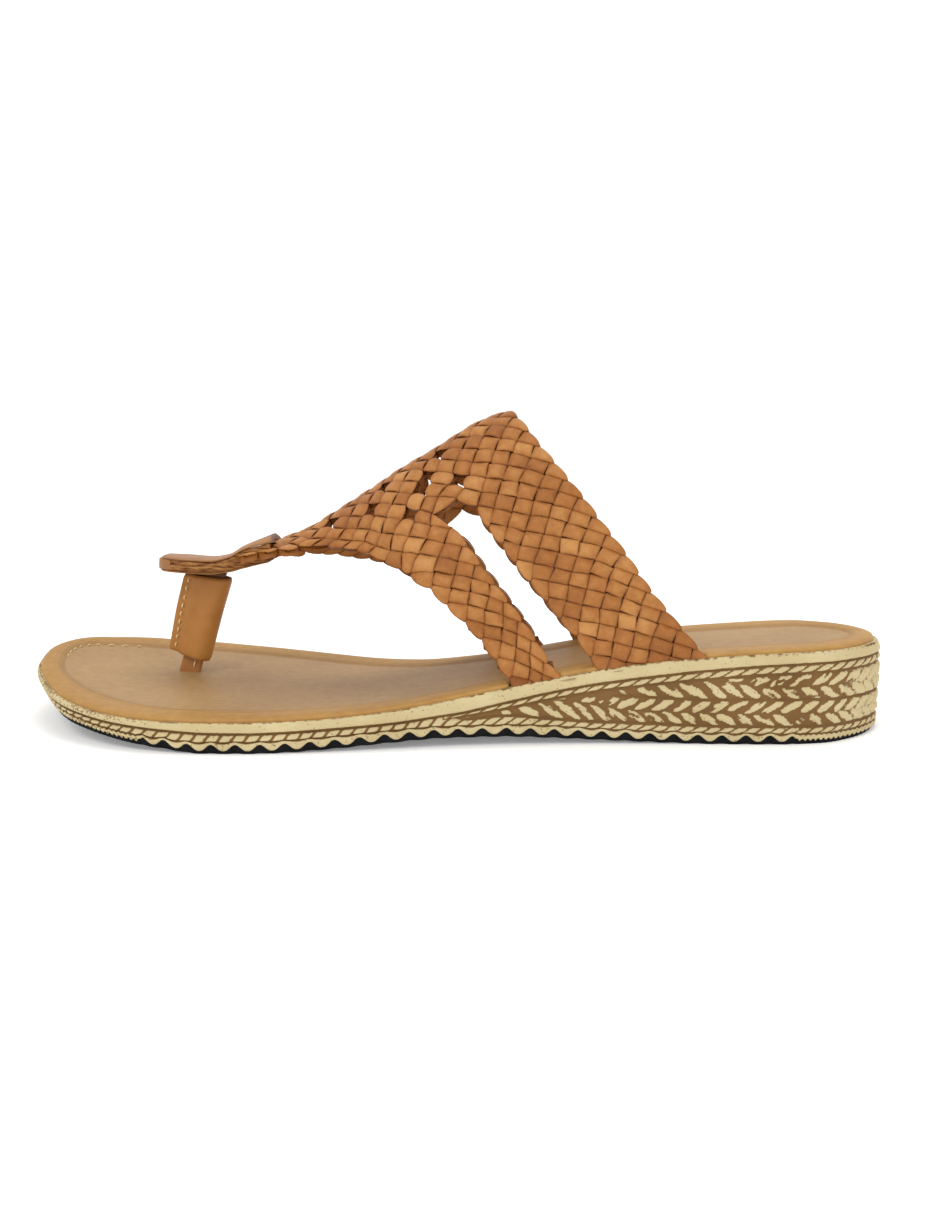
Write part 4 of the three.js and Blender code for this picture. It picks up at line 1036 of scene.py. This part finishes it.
def form_point(c, s):
    c = np.asarray(c, float)
    s = np.asarray(s, float)
    rows, columns, _ = FORM[1][0].shape
    row = np.clip((c - FORM_FROM) / FORM_STEP, 0, rows - BELOW_LAST)
    column = np.clip(np.abs(s) / FORM_STEP, 0, columns - BELOW_LAST)
    r = row.astype(int)
    k = column.astype(int)
    down = (row - r)[..., None]
    over = (column - k)[..., None]

    def look(grid):
        return (
            grid[r, k] * (1 - down) * (1 - over) + grid[r + 1, k] * down * (1 - over)
            + grid[r, k + 1] * (1 - down) * over + grid[r + 1, k + 1] * down * over
        )

    return np.where((s < 0)[..., None], look(FORM[-1][0]), look(FORM[1][0]))


def form_normal(c, s):
    along = form_point(c + NORMAL_STEP, s) - form_point(c - NORMAL_STEP, s)
    across = form_point(c, s + NORMAL_STEP) - form_point(c, s - NORMAL_STEP)
    normal = np.cross(across, along)
    return normal / np.linalg.norm(normal, axis=-1)[..., None]


def on_form(c, s, rise):
    """Points over the form's outer face."""
    rise = np.asarray(rise, float)
    return form_point(c, s) + form_normal(c, s) * (rise - OUTER_SKIN)[..., None]


def landing_run(c, side):
    """Run down the arch at which it meets the sole."""
    return np.interp(c, np.arange(FORM_FROM, FORM_TO, FORM_STEP), FORM[side][1])


# Lattice of the weave: row i counts from the throat, node j from the ridge

def toe_edge(i):
    """Last node of a row in front of the straps."""
    return max(TOE_EDGE_LEAST, TOE_EDGE_SUM - i)


def last_node(i):
    if i < 0 or i > LAST_ROW:
        return -1
    if REAR_LAST < i < FRONT_FIRST:
        return BRIDGE_NODES
    if i <= FRONT_LAST:
        return STRAP_NODES
    return toe_edge(i)


def corners_of(i, j):
    return [(i - 1, j), (i, j - 1), (i + 1, j), (i, j + 1)]


def has_cell(i, j):
    if (i, abs(j)) in HOLES:
        return False
    return sum(abs(b) <= last_node(a) for a, b in corners_of(i, j)) >= 3


def hump(value, centre, width):
    return math.exp(-((value - centre) / width) ** 2)


def front_push(i, away):
    """Step forward of the front edge's nodes, fading towards the ridge and down the strap."""
    if i < FRONT_FIRST:
        return 0
    edge_node = STRAP_EDGE_NODE if i <= FRONT_LAST else toe_edge(i)
    reach = away / edge_node
    fade = reach ** 1.5 if reach <= 1 else math.exp(-(away - edge_node) / 2.4)
    return float(FRONT_EDGE["push"](i)) * fade


def across_stretch(i, away):
    """Rows in front of the straps and beside the slot are a little narrower."""
    if REAR_LAST < i < FRONT_FIRST and away > 6:
        return 0.94
    if i <= FRONT_LAST:
        return 1
    reach = away / toe_edge(i)
    return 1 + (float(FRONT_EDGE["stretch"](i)) - 1) * min(1, reach * reach)


def strap_bends(i, s, away):
    """How the straps bow, close up and narrow on their way down."""
    rear = min(max(1 - i / REAR_LAST, 0), 1)
    bow = REAR_BOW * rear * hump(s, *REAR_BOW_AT)
    low = min(max((s - STRAPS_CLOSE_FROM) / STRAPS_CLOSE_OVER, 0), 1)
    near_slot = i / REAR_LAST if i <= REAR_LAST else FRONT_LAST - i
    close = low * min(1, near_slot) if i <= FRONT_LAST else 0
    away_from_corner = math.hypot(i - FRONT_FIRST, away - SLOT_CORNER_NODE)
    step = SLOT_CORNER * hump(away_from_corner, 0, SLOT_CORNER_REACH)
    if FRONT_FIRST <= i <= FRONT_LAST:
        front_share = (i - FRONT_FIRST) / (FRONT_LAST - FRONT_FIRST)
        step += STRAP_BACK_STEP * float(smooth_step(*STRAP_BACK_STEP_RUN, s)) * (1 - front_share)
        step -= STRAP_FRONT_STEP * hump(s, *STRAP_FRONT_STEP_AT) * front_share
    return bow, close, step


def grid_place(i, j):
    """(c, s) of a node: its run along the ridge and its run down the arch."""
    away = abs(j)
    s = j * ACROSS_STEP * across_stretch(i, away)
    bow, close, step = strap_bends(i, abs(s), away)
    c = float(ROWS(i)) + front_push(i, away) + bow - close + step
    shift = np.array([noise_uv(i * 1.7, j * 1.3, 51), noise_uv(i * 1.3, j * 1.9, 53)])
    return np.array([c, s]) + NODE_JITTER * shift


def cell_frame(i, j):
    """Corners of a cell as (c, s), with the missing one pulled in, and its open sides."""
    corners = corners_of(i, j)
    places = [grid_place(*corner) for corner in corners]
    centre = sum(places) / 4
    missing = None
    open_sides = []
    for n, (row, node) in enumerate(corners):
        if abs(node) > last_node(row):
            missing = n
            places[n] = centre + (places[n] - centre) * 0.3
        later = corners[(n + 1) % 4]
        open_sides.append(not has_cell(row + later[0] - i, node + later[1] - j))
    return np.array(places), missing, open_sides


# Strip ends, each a raised patch over its cell with (u, v) from -1 to 1

PATCH_AXIS = np.array([-1, -0.965, -0.86, -0.6, -0.22, 0.22, 0.6, 0.86, 0.965, 1])
INNER_AXIS = np.array([-1, -0.8, -0.3, 0.3, 0.8, 1])
SIGNS = ((-1, -1), (1, -1), (1, 1), (-1, 1))


def down_sign(places):
    """The sign of s that leads down the strap."""
    return 1 if places[:, 1].mean() > 0 else -1


def petal_places(places, missing, u, v, down, depth):
    """Places in a cell whose missing corner is a rounded petal that leans down the strap."""
    su, sv = SIGNS[missing]
    a = (1 + su * u)[..., None] / 2
    b = (1 + sv * v)[..., None] / 2
    back = places[(missing + 2) % 4]
    end_a = places[SIGNS.index((su, -sv))]
    end_b = places[SIGNS.index((-su, sv))]
    overlap = np.array([0, down * PETAL_OVERLAP])
    if abs(end_a[1]) > abs(end_b[1]):
        end_a = end_a + overlap
    else:
        end_b = end_b + overlap
    middle = (end_a + end_b) / 2
    out = (middle - back) / np.linalg.norm(middle - back)
    tip = out * depth + np.array([0, down * PETAL_LEAN * depth / PETAL_DEPTH])

    def arc(end, share):
        angle = share * math.pi / 2
        return middle + np.cos(angle) * (end - middle) + np.sin(angle) ** 0.85 * tip

    return (
        (1 - b) * (back + (end_a - back) * a) + b * arc(end_b, a)
        + (1 - a) * (back + (end_b - back) * b) + a * arc(end_a, b)
        - (1 - a) * (1 - b) * back - a * (1 - b) * end_a
        - (1 - a) * b * end_b - a * b * (middle + tip)
    )


def patch_places(places, open_sides, u, v):
    """Bilinear places in a cell, with its open sides bulging outwards."""
    weights = [(1 + su * u) * (1 + sv * v) / 4 for su, sv in SIGNS]
    flat = sum(weight[..., None] * place for weight, place in zip(weights, places))
    centre = places.mean(0)
    edges = [(v, -1, u), (u, 1, v), (v, 1, u), (u, -1, v)]
    for n, (normal_axis, sign, along_axis) in enumerate(edges):
        if not open_sides[n]:
            continue
        middle = (places[n] + places[(n + 1) % 4]) / 2
        weight = ((1 + sign * normal_axis) / 2) ** 2 * (1 - along_axis ** 2)
        flat = flat + weight[..., None] * (middle - centre) * SIDE_BULGE
    return flat


def strip_layout(cell, a, b, over_v, depth, turn):
    """(c, s) of a strip end's points: a petal, a bulging edge cell or one turned a little."""
    places, missing, open_sides = cell
    if missing is not None:
        return petal_places(places, missing, a, b, down_sign(places), depth)
    u = a * (STRIP_WIDTH if over_v else STRIP_LENGTH)
    v = b * (STRIP_LENGTH if over_v else STRIP_WIDTH)
    flat = patch_places(places, open_sides, u, v)
    if any(open_sides):
        return flat
    spin = np.array([[math.cos(turn), -math.sin(turn)], [math.sin(turn), math.cos(turn)]])
    centre = places.mean(0)
    return centre + (flat - centre) @ spin.T


def patch_ring(count):
    """Indices round the edge of a square grid of points."""
    n = np.arange(count)
    right = n * count + count - 1
    bottom = (count - 1) * count + n[::-1]
    left = n[::-1] * count
    return np.concatenate([n[:-1], right[:-1], bottom[:-1], left[:-1]])


def settle(points):
    """Holds points over the bottom of the footbed's notches; gives their heights."""
    top = sole_top(within_sole(points[:, 0]), points[:, 1])
    points[:, 2] = np.maximum(points[:, 2], top - NOTCH_SINK)
    return points[:, 2] - top


def add_patch(group, axis, cell, over_v, rise_at, floor, seed, outward, depth):
    """One strip end with a skirt down to the wall's middle."""
    places, missing, open_sides = cell
    rng = np.random.default_rng(seed)
    a, b = np.meshgrid(axis, axis, indexing="ij")
    along, width = (b, a) if over_v else (a, b)
    flat = strip_layout(cell, a, b, over_v, depth, rng.normal(0, CELL_TURN))
    rise = rise_at(along, width, missing, rng)
    if missing is not None:
        lower = (flat[..., 1] - places.mean(0)[1]) * down_sign(places) / ACROSS_STEP
        rise = rise + PETAL_TILT * np.clip(lower, -1.2, 1.2) * outward
    points = on_form(flat[..., 0], flat[..., 1], rise)
    lumps = noise(points * 0.11) * 0.14 + noise(points * 0.33) * 0.05
    points = points + form_normal(flat[..., 0], flat[..., 1]) * (lumps * outward)[..., None]
    # Painted shade along the strip's border, where it dips under its neighbours; half as dark on
    # a petal's free edge
    seam = smooth_step(0.9, 1.0, np.maximum(np.abs(a), np.abs(b))) * 0.7
    if missing is not None:
        seam = seam * 0.5
    # Each strip's crown is lighter: a painted highlight where light falls on its top, over a tone
    # that differs at random from strip to strip.
    crown = (1 - along ** 2) * (1 - width ** 4)
    tone = 0.42 + rng.normal(0, 0.125) + 0.24 * crown
    count = len(axis)
    ring = patch_ring(count)
    rim_flat = flat.reshape(-1, 2)[ring]
    skirt = on_form(rim_flat[:, 0], rim_flat[:, 1], np.full(len(ring), floor))
    skirt_ids = count * count + np.arange(len(ring))
    walls = np.column_stack([ring, np.roll(ring, -1), np.roll(skirt_ids, -1), skirt_ids])
    quads = grid_quads(count, count)
    if outward > 0:
        walls = walls[:, ::-1]
        quads = quads[:, ::-1]
    # Walls between strips get painted shade and a lower tone: dark where a neighbour covers them,
    # light on free edges
    skirt_shade = 0.2 if missing is not None or any(open_sides) else 0.9
    seam = np.concatenate([seam.ravel(), np.full(len(ring), skirt_shade)])
    tone = np.concatenate([tone.ravel(), np.full(len(ring), 0.3)])
    points = np.vstack([points.reshape(-1, 3), skirt])
    height = settle(points)
    tone = tone - FOOT_SHADE * (1 - smooth_step(0, FOOT_SHADE_HEIGHT, height))
    group.add(points, np.vstack([quads, walls]), seam=seam, tone=tone)


def outer_rise(i):
    def pressed(along, width, missing, rng):
        return 0.12 * (1 - along ** 4) * (1 - 0.4 * width ** 4)

    def raised(along, width, missing, rng):
        high = STRIP_RISE * (1 + rng.normal(0, 0.1))
        tilt = rng.normal(0, 0.05)
        body = high * (1 - 0.9 * np.abs(along) ** 2.6) + tilt * along * 0.6
        if missing is not None:
            body = high * (1 - 0.5 * np.abs(along) ** 3) * (1 - 0.5 * np.abs(width) ** 3)
        edge = 0.26 * np.clip((np.abs(width) - 0.8) / 0.2, 0, 1) ** 2
        return body - edge - 0.06

    return pressed if i >= PRESSED_FROM else raised


def inner_rise(i):
    wall = TONGUE_WALL if i >= PRESSED_FROM else WEAVE_WALL

    def rise(along, width, missing, rng):
        relief = 0.22 * (1 - np.abs(along) ** 2) - 0.05
        return -wall + 0.2 - relief

    return rise


def add_cell(weave, core, i, j):
    """The outer and the inner strip end of a cell, and the wall's middle between them."""
    cell = cell_frame(i, j)
    places = cell[0]
    landing = float(landing_run(places[:, 0].mean(), -1 if j < 0 else 1))
    if np.abs(places[:, 1]).min() > landing + 1.5:
        return
    by_slot = REAR_LAST <= i <= FRONT_FIRST and abs(j) < 10
    depth = SLOT_PETAL if by_slot else PETAL_DEPTH
    over_v = i % 2 == 0
    seed = (i + 5) * 1009 + j + 400
    add_patch(weave, PATCH_AXIS, cell, over_v, outer_rise(i), OUTER_FLOOR, seed, 1.0, depth)
    add_patch(weave, INNER_AXIS, cell, not over_v, inner_rise(i), INNER_FLOOR, seed + 7, -1.0,
              depth)
    flat = on_form(places[:, 0], places[:, 1], np.full(4, CORE_FLOOR))
    settle(flat)
    # The core in the wall's middle is coloured dark: painted shade seen through the gaps between
    # strips
    core.add(flat, np.array([[0, 1, 2, 3]]), seam=0.8, tone=0.3)


def build_upper():
    weave = Collected()
    core = Collected()
    for i in range(HIDDEN_FROM):
        for j in range(-STRAP_NODES, STRAP_NODES + 1):
            if (i + j) % 2 == 1 and has_cell(i, j):
                add_cell(weave, core, i, j)
    material = woven_material()
    for group, name in ((weave, "woven_upper"), (core, "weave_core")):
        piece = group.piece(name, material)
        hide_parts("upper")
        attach(piece, "root")


def strap_landings():
    """Ranges of x in which the straps of each side come down to the sole."""
    ranges = {}
    for side in (-1, 1):
        spans = []
        for rows in ((0, REAR_LAST), (FRONT_FIRST, FRONT_LAST)):
            ends = []
            for i in rows:
                c, _ = grid_place(i, side * LANDING_NODE)
                run = float(landing_run(c, side))
                ends.append(form_point(c, side * run)[0])
            spans.append((min(ends) - NOTCH_MARGIN, max(ends) + NOTCH_MARGIN))
        ranges[side] = spans
    return ranges


LANDINGS = strap_landings()


# Toe tab: a strip with rounded long edges, folded at the front

def strip_section(half, thickness, steps=3):
    """(across, up) round a flat strip, anticlockwise from its lower side."""
    radius = thickness / 2
    section = []
    for centre, start in ((half - radius, -90), (-half + radius, 90)):
        for n in range(steps * 2 + 1):
            angle = math.radians(start + n * 90 / steps)
            section.append((centre + radius * math.cos(angle), radius + radius * math.sin(angle)))
    return section


def tab_fold():
    """Middle height and radius of the fold at the front."""
    top = float(TAB["over"](TAB_FOLD_AT))
    bottom = float(TAB["under"](TAB_FOLD_AT))
    return (top + bottom) / 2, (top - bottom) / 2


def tab_half_width(c):
    nose = TAB_FOLD_AT + tab_fold()[1] + TAB_LAYER - TAB_NOSE_RADIUS
    if c <= nose:
        return TAB_HALF_WIDTH
    over = (c - nose) / TAB_NOSE_RADIUS
    flat = TAB_HALF_WIDTH - TAB_NOSE_RADIUS
    return flat + TAB_NOSE_RADIUS * math.sqrt(max(0, 1 - over * over * 0.92))


def tab_path():
    """(c, height, direction out along c, direction up) from the lower layer to the upper."""
    middle, radius = tab_fold()
    path = []
    for c in np.linspace(TAB_FROM_UNDER, TAB_FOLD_AT, 34):
        path.append((c, float(TAB["under"](c)), 0, -1))
    for n in range(1, 14):
        angle = -math.pi / 2 + n * math.pi / 14
        along = math.cos(angle)
        up = math.sin(angle)
        path.append((TAB_FOLD_AT + radius * along, middle + radius * up, along, up))
    for c in np.linspace(TAB_FOLD_AT, TAB_FROM_OVER, 36):
        path.append((c, float(TAB["over"](c)), 0, 1))
    return path


def build_tab_filling(name, first, last, roughness, material):
    """What lies between the tab's two layers: raw ends of the weave, or the folded nose."""
    stations = np.linspace(first, last, int((last - first) * 3))
    section = strip_section(1.0, 1.0, 4)
    count = len(section)
    rings = []
    for c in stations:
        low = float(TAB["under"](c)) - FILLING_OVERLAP - TAB_SWELL
        high = float(TAB["over"](c)) + FILLING_OVERLAP + TAB_SWELL
        half = tab_half_width(c) + FILLING_PROUD
        rough = roughness * float(noise_uv(c * 0.8, 0.0, 31))
        ring = []
        for across, up in section:
            s = math.copysign(abs(across) ** 0.08, across) * (half + rough * abs(across))
            ring.append(on_form(c, s, low + (high - low) * up))
        rings.append(ring)
    grid = np.array(rings)
    ragged = noise(grid * 0.7) * 0.16 + noise(grid * np.array([0.5, 1.5, 2.6])) * 0.14
    outward = np.sign([across for across, _ in section])
    grid[..., 1] += ragged * outward[None, :] * (roughness / CORE_ROUGHNESS)
    quads = tube_quads(len(stations), count)
    piece = make_piece(name, grid, quads, material, {"shade": np.full(grid.shape[:2], 0.1)})
    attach(piece, "root")


def build_tab(leather):
    path = tab_path()
    section = strip_section(1.0, TAB_LAYER)
    rings = []
    shades = []
    for n, (c, rise, along, up) in enumerate(path):
        rise = rise + TAB_SWELL * up
        half = tab_half_width(c + along * TAB_LAYER)
        ring = []
        for across, out in section:
            s = across * half + (0.1 * math.sin(c * 1.9) if abs(across) > 0.9 else 0)
            ring.append(on_form(c + along * out, s, rise + up * out))
        rings.append(ring)
        edge = max(0.0, 1 - min(n, len(path) - 1 - n) / 2)
        shades.append([0.15 + 0.25 * edge if out < 0.2 else 0.1 * edge for _, out in section])
    grid = np.array(rings)
    grid = grid + (noise(grid * 0.2) * 0.12)[..., None] * np.array([0.2, 0.2, 1.0])
    quads = tube_quads(len(path), len(section))
    piece = make_piece("folded_toe_tab", grid, quads, leather, {"shade": np.array(shades)})
    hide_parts("toe_tab")
    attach(piece, "root")


# Sleeve and post

def drop_section(seam, thin, radius, length, steps):
    """(back, across) round a drop: a flat seam in front, a round end behind."""
    half = [(seam * n / 4, -thin) for n in range(5)]
    shoulder = seam + 0.45 * radius
    half.append((seam + 0.2 * radius, -0.5 * radius))
    half.append((shoulder, -0.78 * radius))
    straight = length - radius
    for n in range(1, 5):
        share = n / 5
        half.append((shoulder + (straight - shoulder) * share, -radius * (0.78 + 0.22 * share)))
    for n in range(steps + 1):
        angle = -math.pi / 2 + n * math.pi / 2 / steps
        half.append((straight + radius * math.cos(angle), radius * math.sin(angle)))
    return half + [(back, -across) for back, across in half[-2::-1]]


def sleeve_ring(t, inner=False, bulge=0):
    """One level of the sleeve, from t = 0 at its lower end to 1; bulge rounds its edges."""
    front = float(SLEEVE["front"](t))
    length = float(SLEEVE["back"](t)) - front
    if inner:
        loop = drop_section(0.1, 0.6, SLEEVE_HALF_WIDTH - SLEEVE_WALL,
                            length - SLEEVE_SEAM - SLEEVE_WALL, 8)
        start = SLEEVE_SEAM
    else:
        loop = drop_section(SLEEVE_SEAM, SLEEVE_WALL, SLEEVE_HALF_WIDTH, length, 8)
        start = 0
    points = []
    for back, across in loop:
        share = (start + back) / length
        x = front + start + back * (1 - bulge) + bulge * length / 2
        y = float(SLEEVE["y"](t)) + across * (1 - bulge)
        z = float(SLEEVE["frontZ"](t)) * (1 - share) + float(SLEEVE["backZ"](t)) * share
        points.append((x, y, z))
    return points


def build_sleeve():
    rings = []
    shades = []
    levels = np.linspace(0, 1, SLEEVE_LEVELS)
    for t in levels:
        edge = max(0.0, 1 - min(t, 1 - t) * SLEEVE_LEVELS)
        rings.append(sleeve_ring(t, bulge=0.05 * edge))
        shades.append(np.full(len(rings[-1]), 0.55 * edge))
    for t in levels[::-1]:
        rings.append(sleeve_ring(t, inner=True))
        shades.append(np.full(len(rings[-1]), 0.7))
    grid = np.array(rings)
    grid = grid + (noise(grid * 0.17) * 0.16)[..., None] * np.array([0.3, 1.0, 0.0])
    grid = np.vstack([grid, grid[:1]])
    shades.append(shades[0])
    quads = loop_quads(*grid.shape[:2])
    leather = plain_leather("sleeve_leather", SLEEVE_LEATHER, 0.48, scale=110, coat=0.08)
    piece = make_piece("stitched_post_sleeve", grid, quads, leather, {"shade": np.array(shades)})
    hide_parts("post_sleeve")
    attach(piece, "root")


def build_post():
    foot_x, foot_y, foot_z = POST_FOOT
    section = []
    for cx, cy, start in ((1, -1, -90), (1, 1, 0), (-1, 1, 90), (-1, -1, 180)):
        for n in range(5):
            angle = math.radians(start + n * 22.5)
            a = cx * (POST_HALF_LENGTH - POST_CORNER) + POST_CORNER * math.cos(angle)
            b = cy * (POST_HALF_WIDTH - POST_CORNER) + POST_CORNER * math.sin(angle)
            section.append((a, b))
    rings = []
    for z in np.linspace(10.4, 41.7, 30):
        x = foot_x + POST_LEAN * (z - foot_z)
        y = foot_y + (POST_TOP_Y - foot_y) * ((z - foot_z) / POST_HEIGHT)
        rings.append([(x + a, y + b, z) for a, b in section])
    grid = np.array(rings)
    shade = 0.08 + 0.92 * smooth_step(*POST_DARKENS, grid[..., 2])
    quads = loop_quads(len(rings), len(section))
    leather = plain_leather("post_leather", POST_LEATHER, 0.5)
    piece = make_piece("post_strap", grid, quads, leather, {"shade": shade})
    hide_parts("toe_post")
    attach(piece, "root")


# Stitches: short rounded stays of thread between two points

def add_stitch(group, start, end, out, radius):
    start = np.array(start)
    end = np.array(end)
    out = np.array(out) / np.linalg.norm(out)
    axis = (end - start) / np.linalg.norm(end - start)
    side = np.cross(axis, out)
    rings = []
    steps = 8
    for n in range(steps + 1):
        share = n / steps
        lift = 0.35 * math.sin(math.pi * share) - 0.12
        thick = radius * (0.35 + 0.65 * math.sin(math.pi * (0.08 + 0.84 * share)))
        centre = start + (end - start) * share + out * lift
        rings.append([
            centre + thick * (math.cos(angle) * side + math.sin(angle) * out)
            for angle in np.arange(8) * math.pi / 4
        ])
    group.add(np.array(rings), loop_quads(steps + 1, 8))


def rim_stitch_end(points, inward, index):
    inset = (RIM_WIDTH + 0.4) * rim_narrowing(points[index, 0]) + FOOTBED_INSET
    x, y = points[index] + inward[index] * inset
    return (x, y, float(sole_top(x, y)) + FOOTBED_HEIGHT + 0.1)


def build_stitches(points, inward):
    group = Collected()
    count = len(points)
    for n in range(-40, 14, 6):
        start = rim_stitch_end(points, inward, n % count)
        end = rim_stitch_end(points, inward, (n + 3) % count)
        add_stitch(group, start, end, (0, 0, 1), 0.2)
    for t in np.linspace(0.06, 0.9, 9):
        ring = sleeve_ring(t)
        later = sleeve_ring(t + 0.06)
        for index, side in ((3, -1), (len(ring) - 4, 1)):
            add_stitch(group, ring[index], later[index], (-0.2, side, 0.1), 0.26)
    add_stitch(group, (-83.1, 6.95, 12.4), (-82.5, 6.95, 14.6), (0, -1, 0), 0.22)
    piece = group.piece("stitches", thread_material())
    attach(piece, "root")


# Camera at the photograph's angle, floor and lights

def build_camera():
    pitch, yaw, roll = np.radians(CAMERA_PITCH_YAW_ROLL)
    forward = np.array([
        math.sin(yaw) * math.cos(pitch), math.cos(yaw) * math.cos(pitch), -math.sin(pitch),
    ])
    level = np.array([math.cos(yaw), -math.sin(yaw), 0])
    up = np.cross(level, forward)
    right = math.cos(roll) * level + math.sin(roll) * up
    above = -math.sin(roll) * level + math.cos(roll) * up
    camera = bpy.data.cameras.new("camera")
    camera.sensor_width = SENSOR
    camera.lens = SENSOR * FOCAL_LENGTH_IN_HEIGHTS
    camera.clip_start = 0.01
    camera.clip_end = 50
    piece = bpy.data.objects.new("camera", camera)
    place = (CAMERA_PLACE + CENTRING) * MM
    axes = np.column_stack([right, above, -forward, place])
    piece.matrix_world = Matrix([*axes.tolist(), [0, 0, 0, 1]])
    bpy.context.scene.collection.objects.link(piece)
    bpy.context.scene.camera = piece


def build_light(name, place, aim, size, power, colour=WHITE):
    light = bpy.data.lights.new(name, "AREA")
    light.size = size
    light.energy = power
    light.color = colour
    piece = bpy.data.objects.new(name, light)
    piece.location = place
    direction = Vector(np.array(aim) - np.array(place))
    piece.rotation_euler = direction.to_track_quat("-Z", "Y").to_euler()
    bpy.context.scene.collection.objects.link(piece)


def build_floor():
    """A pale floor that turns up into a glowing wall all round."""
    profile = [(r, 0.0) for r in FLOOR_RINGS]
    for n in range(1, BOWL_STEPS + 1):
        angle = n * math.pi / 2 / BOWL_STEPS
        out = FLOOR_RINGS[-1] + BOWL_ROUND * math.sin(angle)
        profile.append((out, BOWL_ROUND * (1 - math.cos(angle))))
    profile.append(WALL_TOP)
    turns = np.arange(FLOOR_SEGMENTS) * TURN / FLOOR_SEGMENTS
    points = [(r * math.cos(a), r * math.sin(a), z) for r, z in profile for a in turns]
    points.append((0, 0, 0))
    faces = loop_quads(len(profile), FLOOR_SEGMENTS)[:, ::-1].tolist()
    faces += [(len(points) - 1, n, (n + 1) % FLOOR_SEGMENTS) for n in range(FLOOR_SEGMENTS)]
    away = np.hypot(*np.array(points)[:, :2].T) + np.array(points)[:, 2]
    wall = smooth_step(*WALL_FROM, away)
    floor = make_object("floor", points, faces, studio_material(), {"wall": wall})


def build_studio():
    build_floor()
    world = bpy.data.worlds.new("studio")
    world.use_nodes = True
    background = world.node_tree.nodes["Background"]
    background.inputs["Color"].default_value = (*WHITE, 1)
    background.inputs["Strength"].default_value = WORLD_LIGHT
    bpy.context.scene.world = world
    bpy.context.scene.view_settings.view_transform = "Standard"
    build_light("key", (-0.45, -0.75, 1.1), (0, 0, 0.03), size=0.55, power=4.6,
                colour=(1, 0.985, 0.96))
    build_light("fill", (1.0, -0.8, 0.5), (0, 0, 0.03), size=0.9, power=0.6)
    build_light("top", (0.1, 0.25, 1.3), (0, 0, 0), size=0.9, power=7)


def main():
    build_camera()
    build_sole()
    build_tread()
    points, inward = build_footbed()
    build_upper()
    leather = plain_leather("tab_leather", TAB_LEATHER, 0.5, scale=150, bump=0.3, coat=0.08)
    build_tab(leather)
    build_tab_filling("tab_core", 82.8, 115.0, CORE_ROUGHNESS, raw_material())
    build_tab_filling("tab_nose", 114.8, 119.2, 0.0, leather)
    build_sleeve()
    build_post()
    build_stitches(points, inward)
    build_studio()


main()
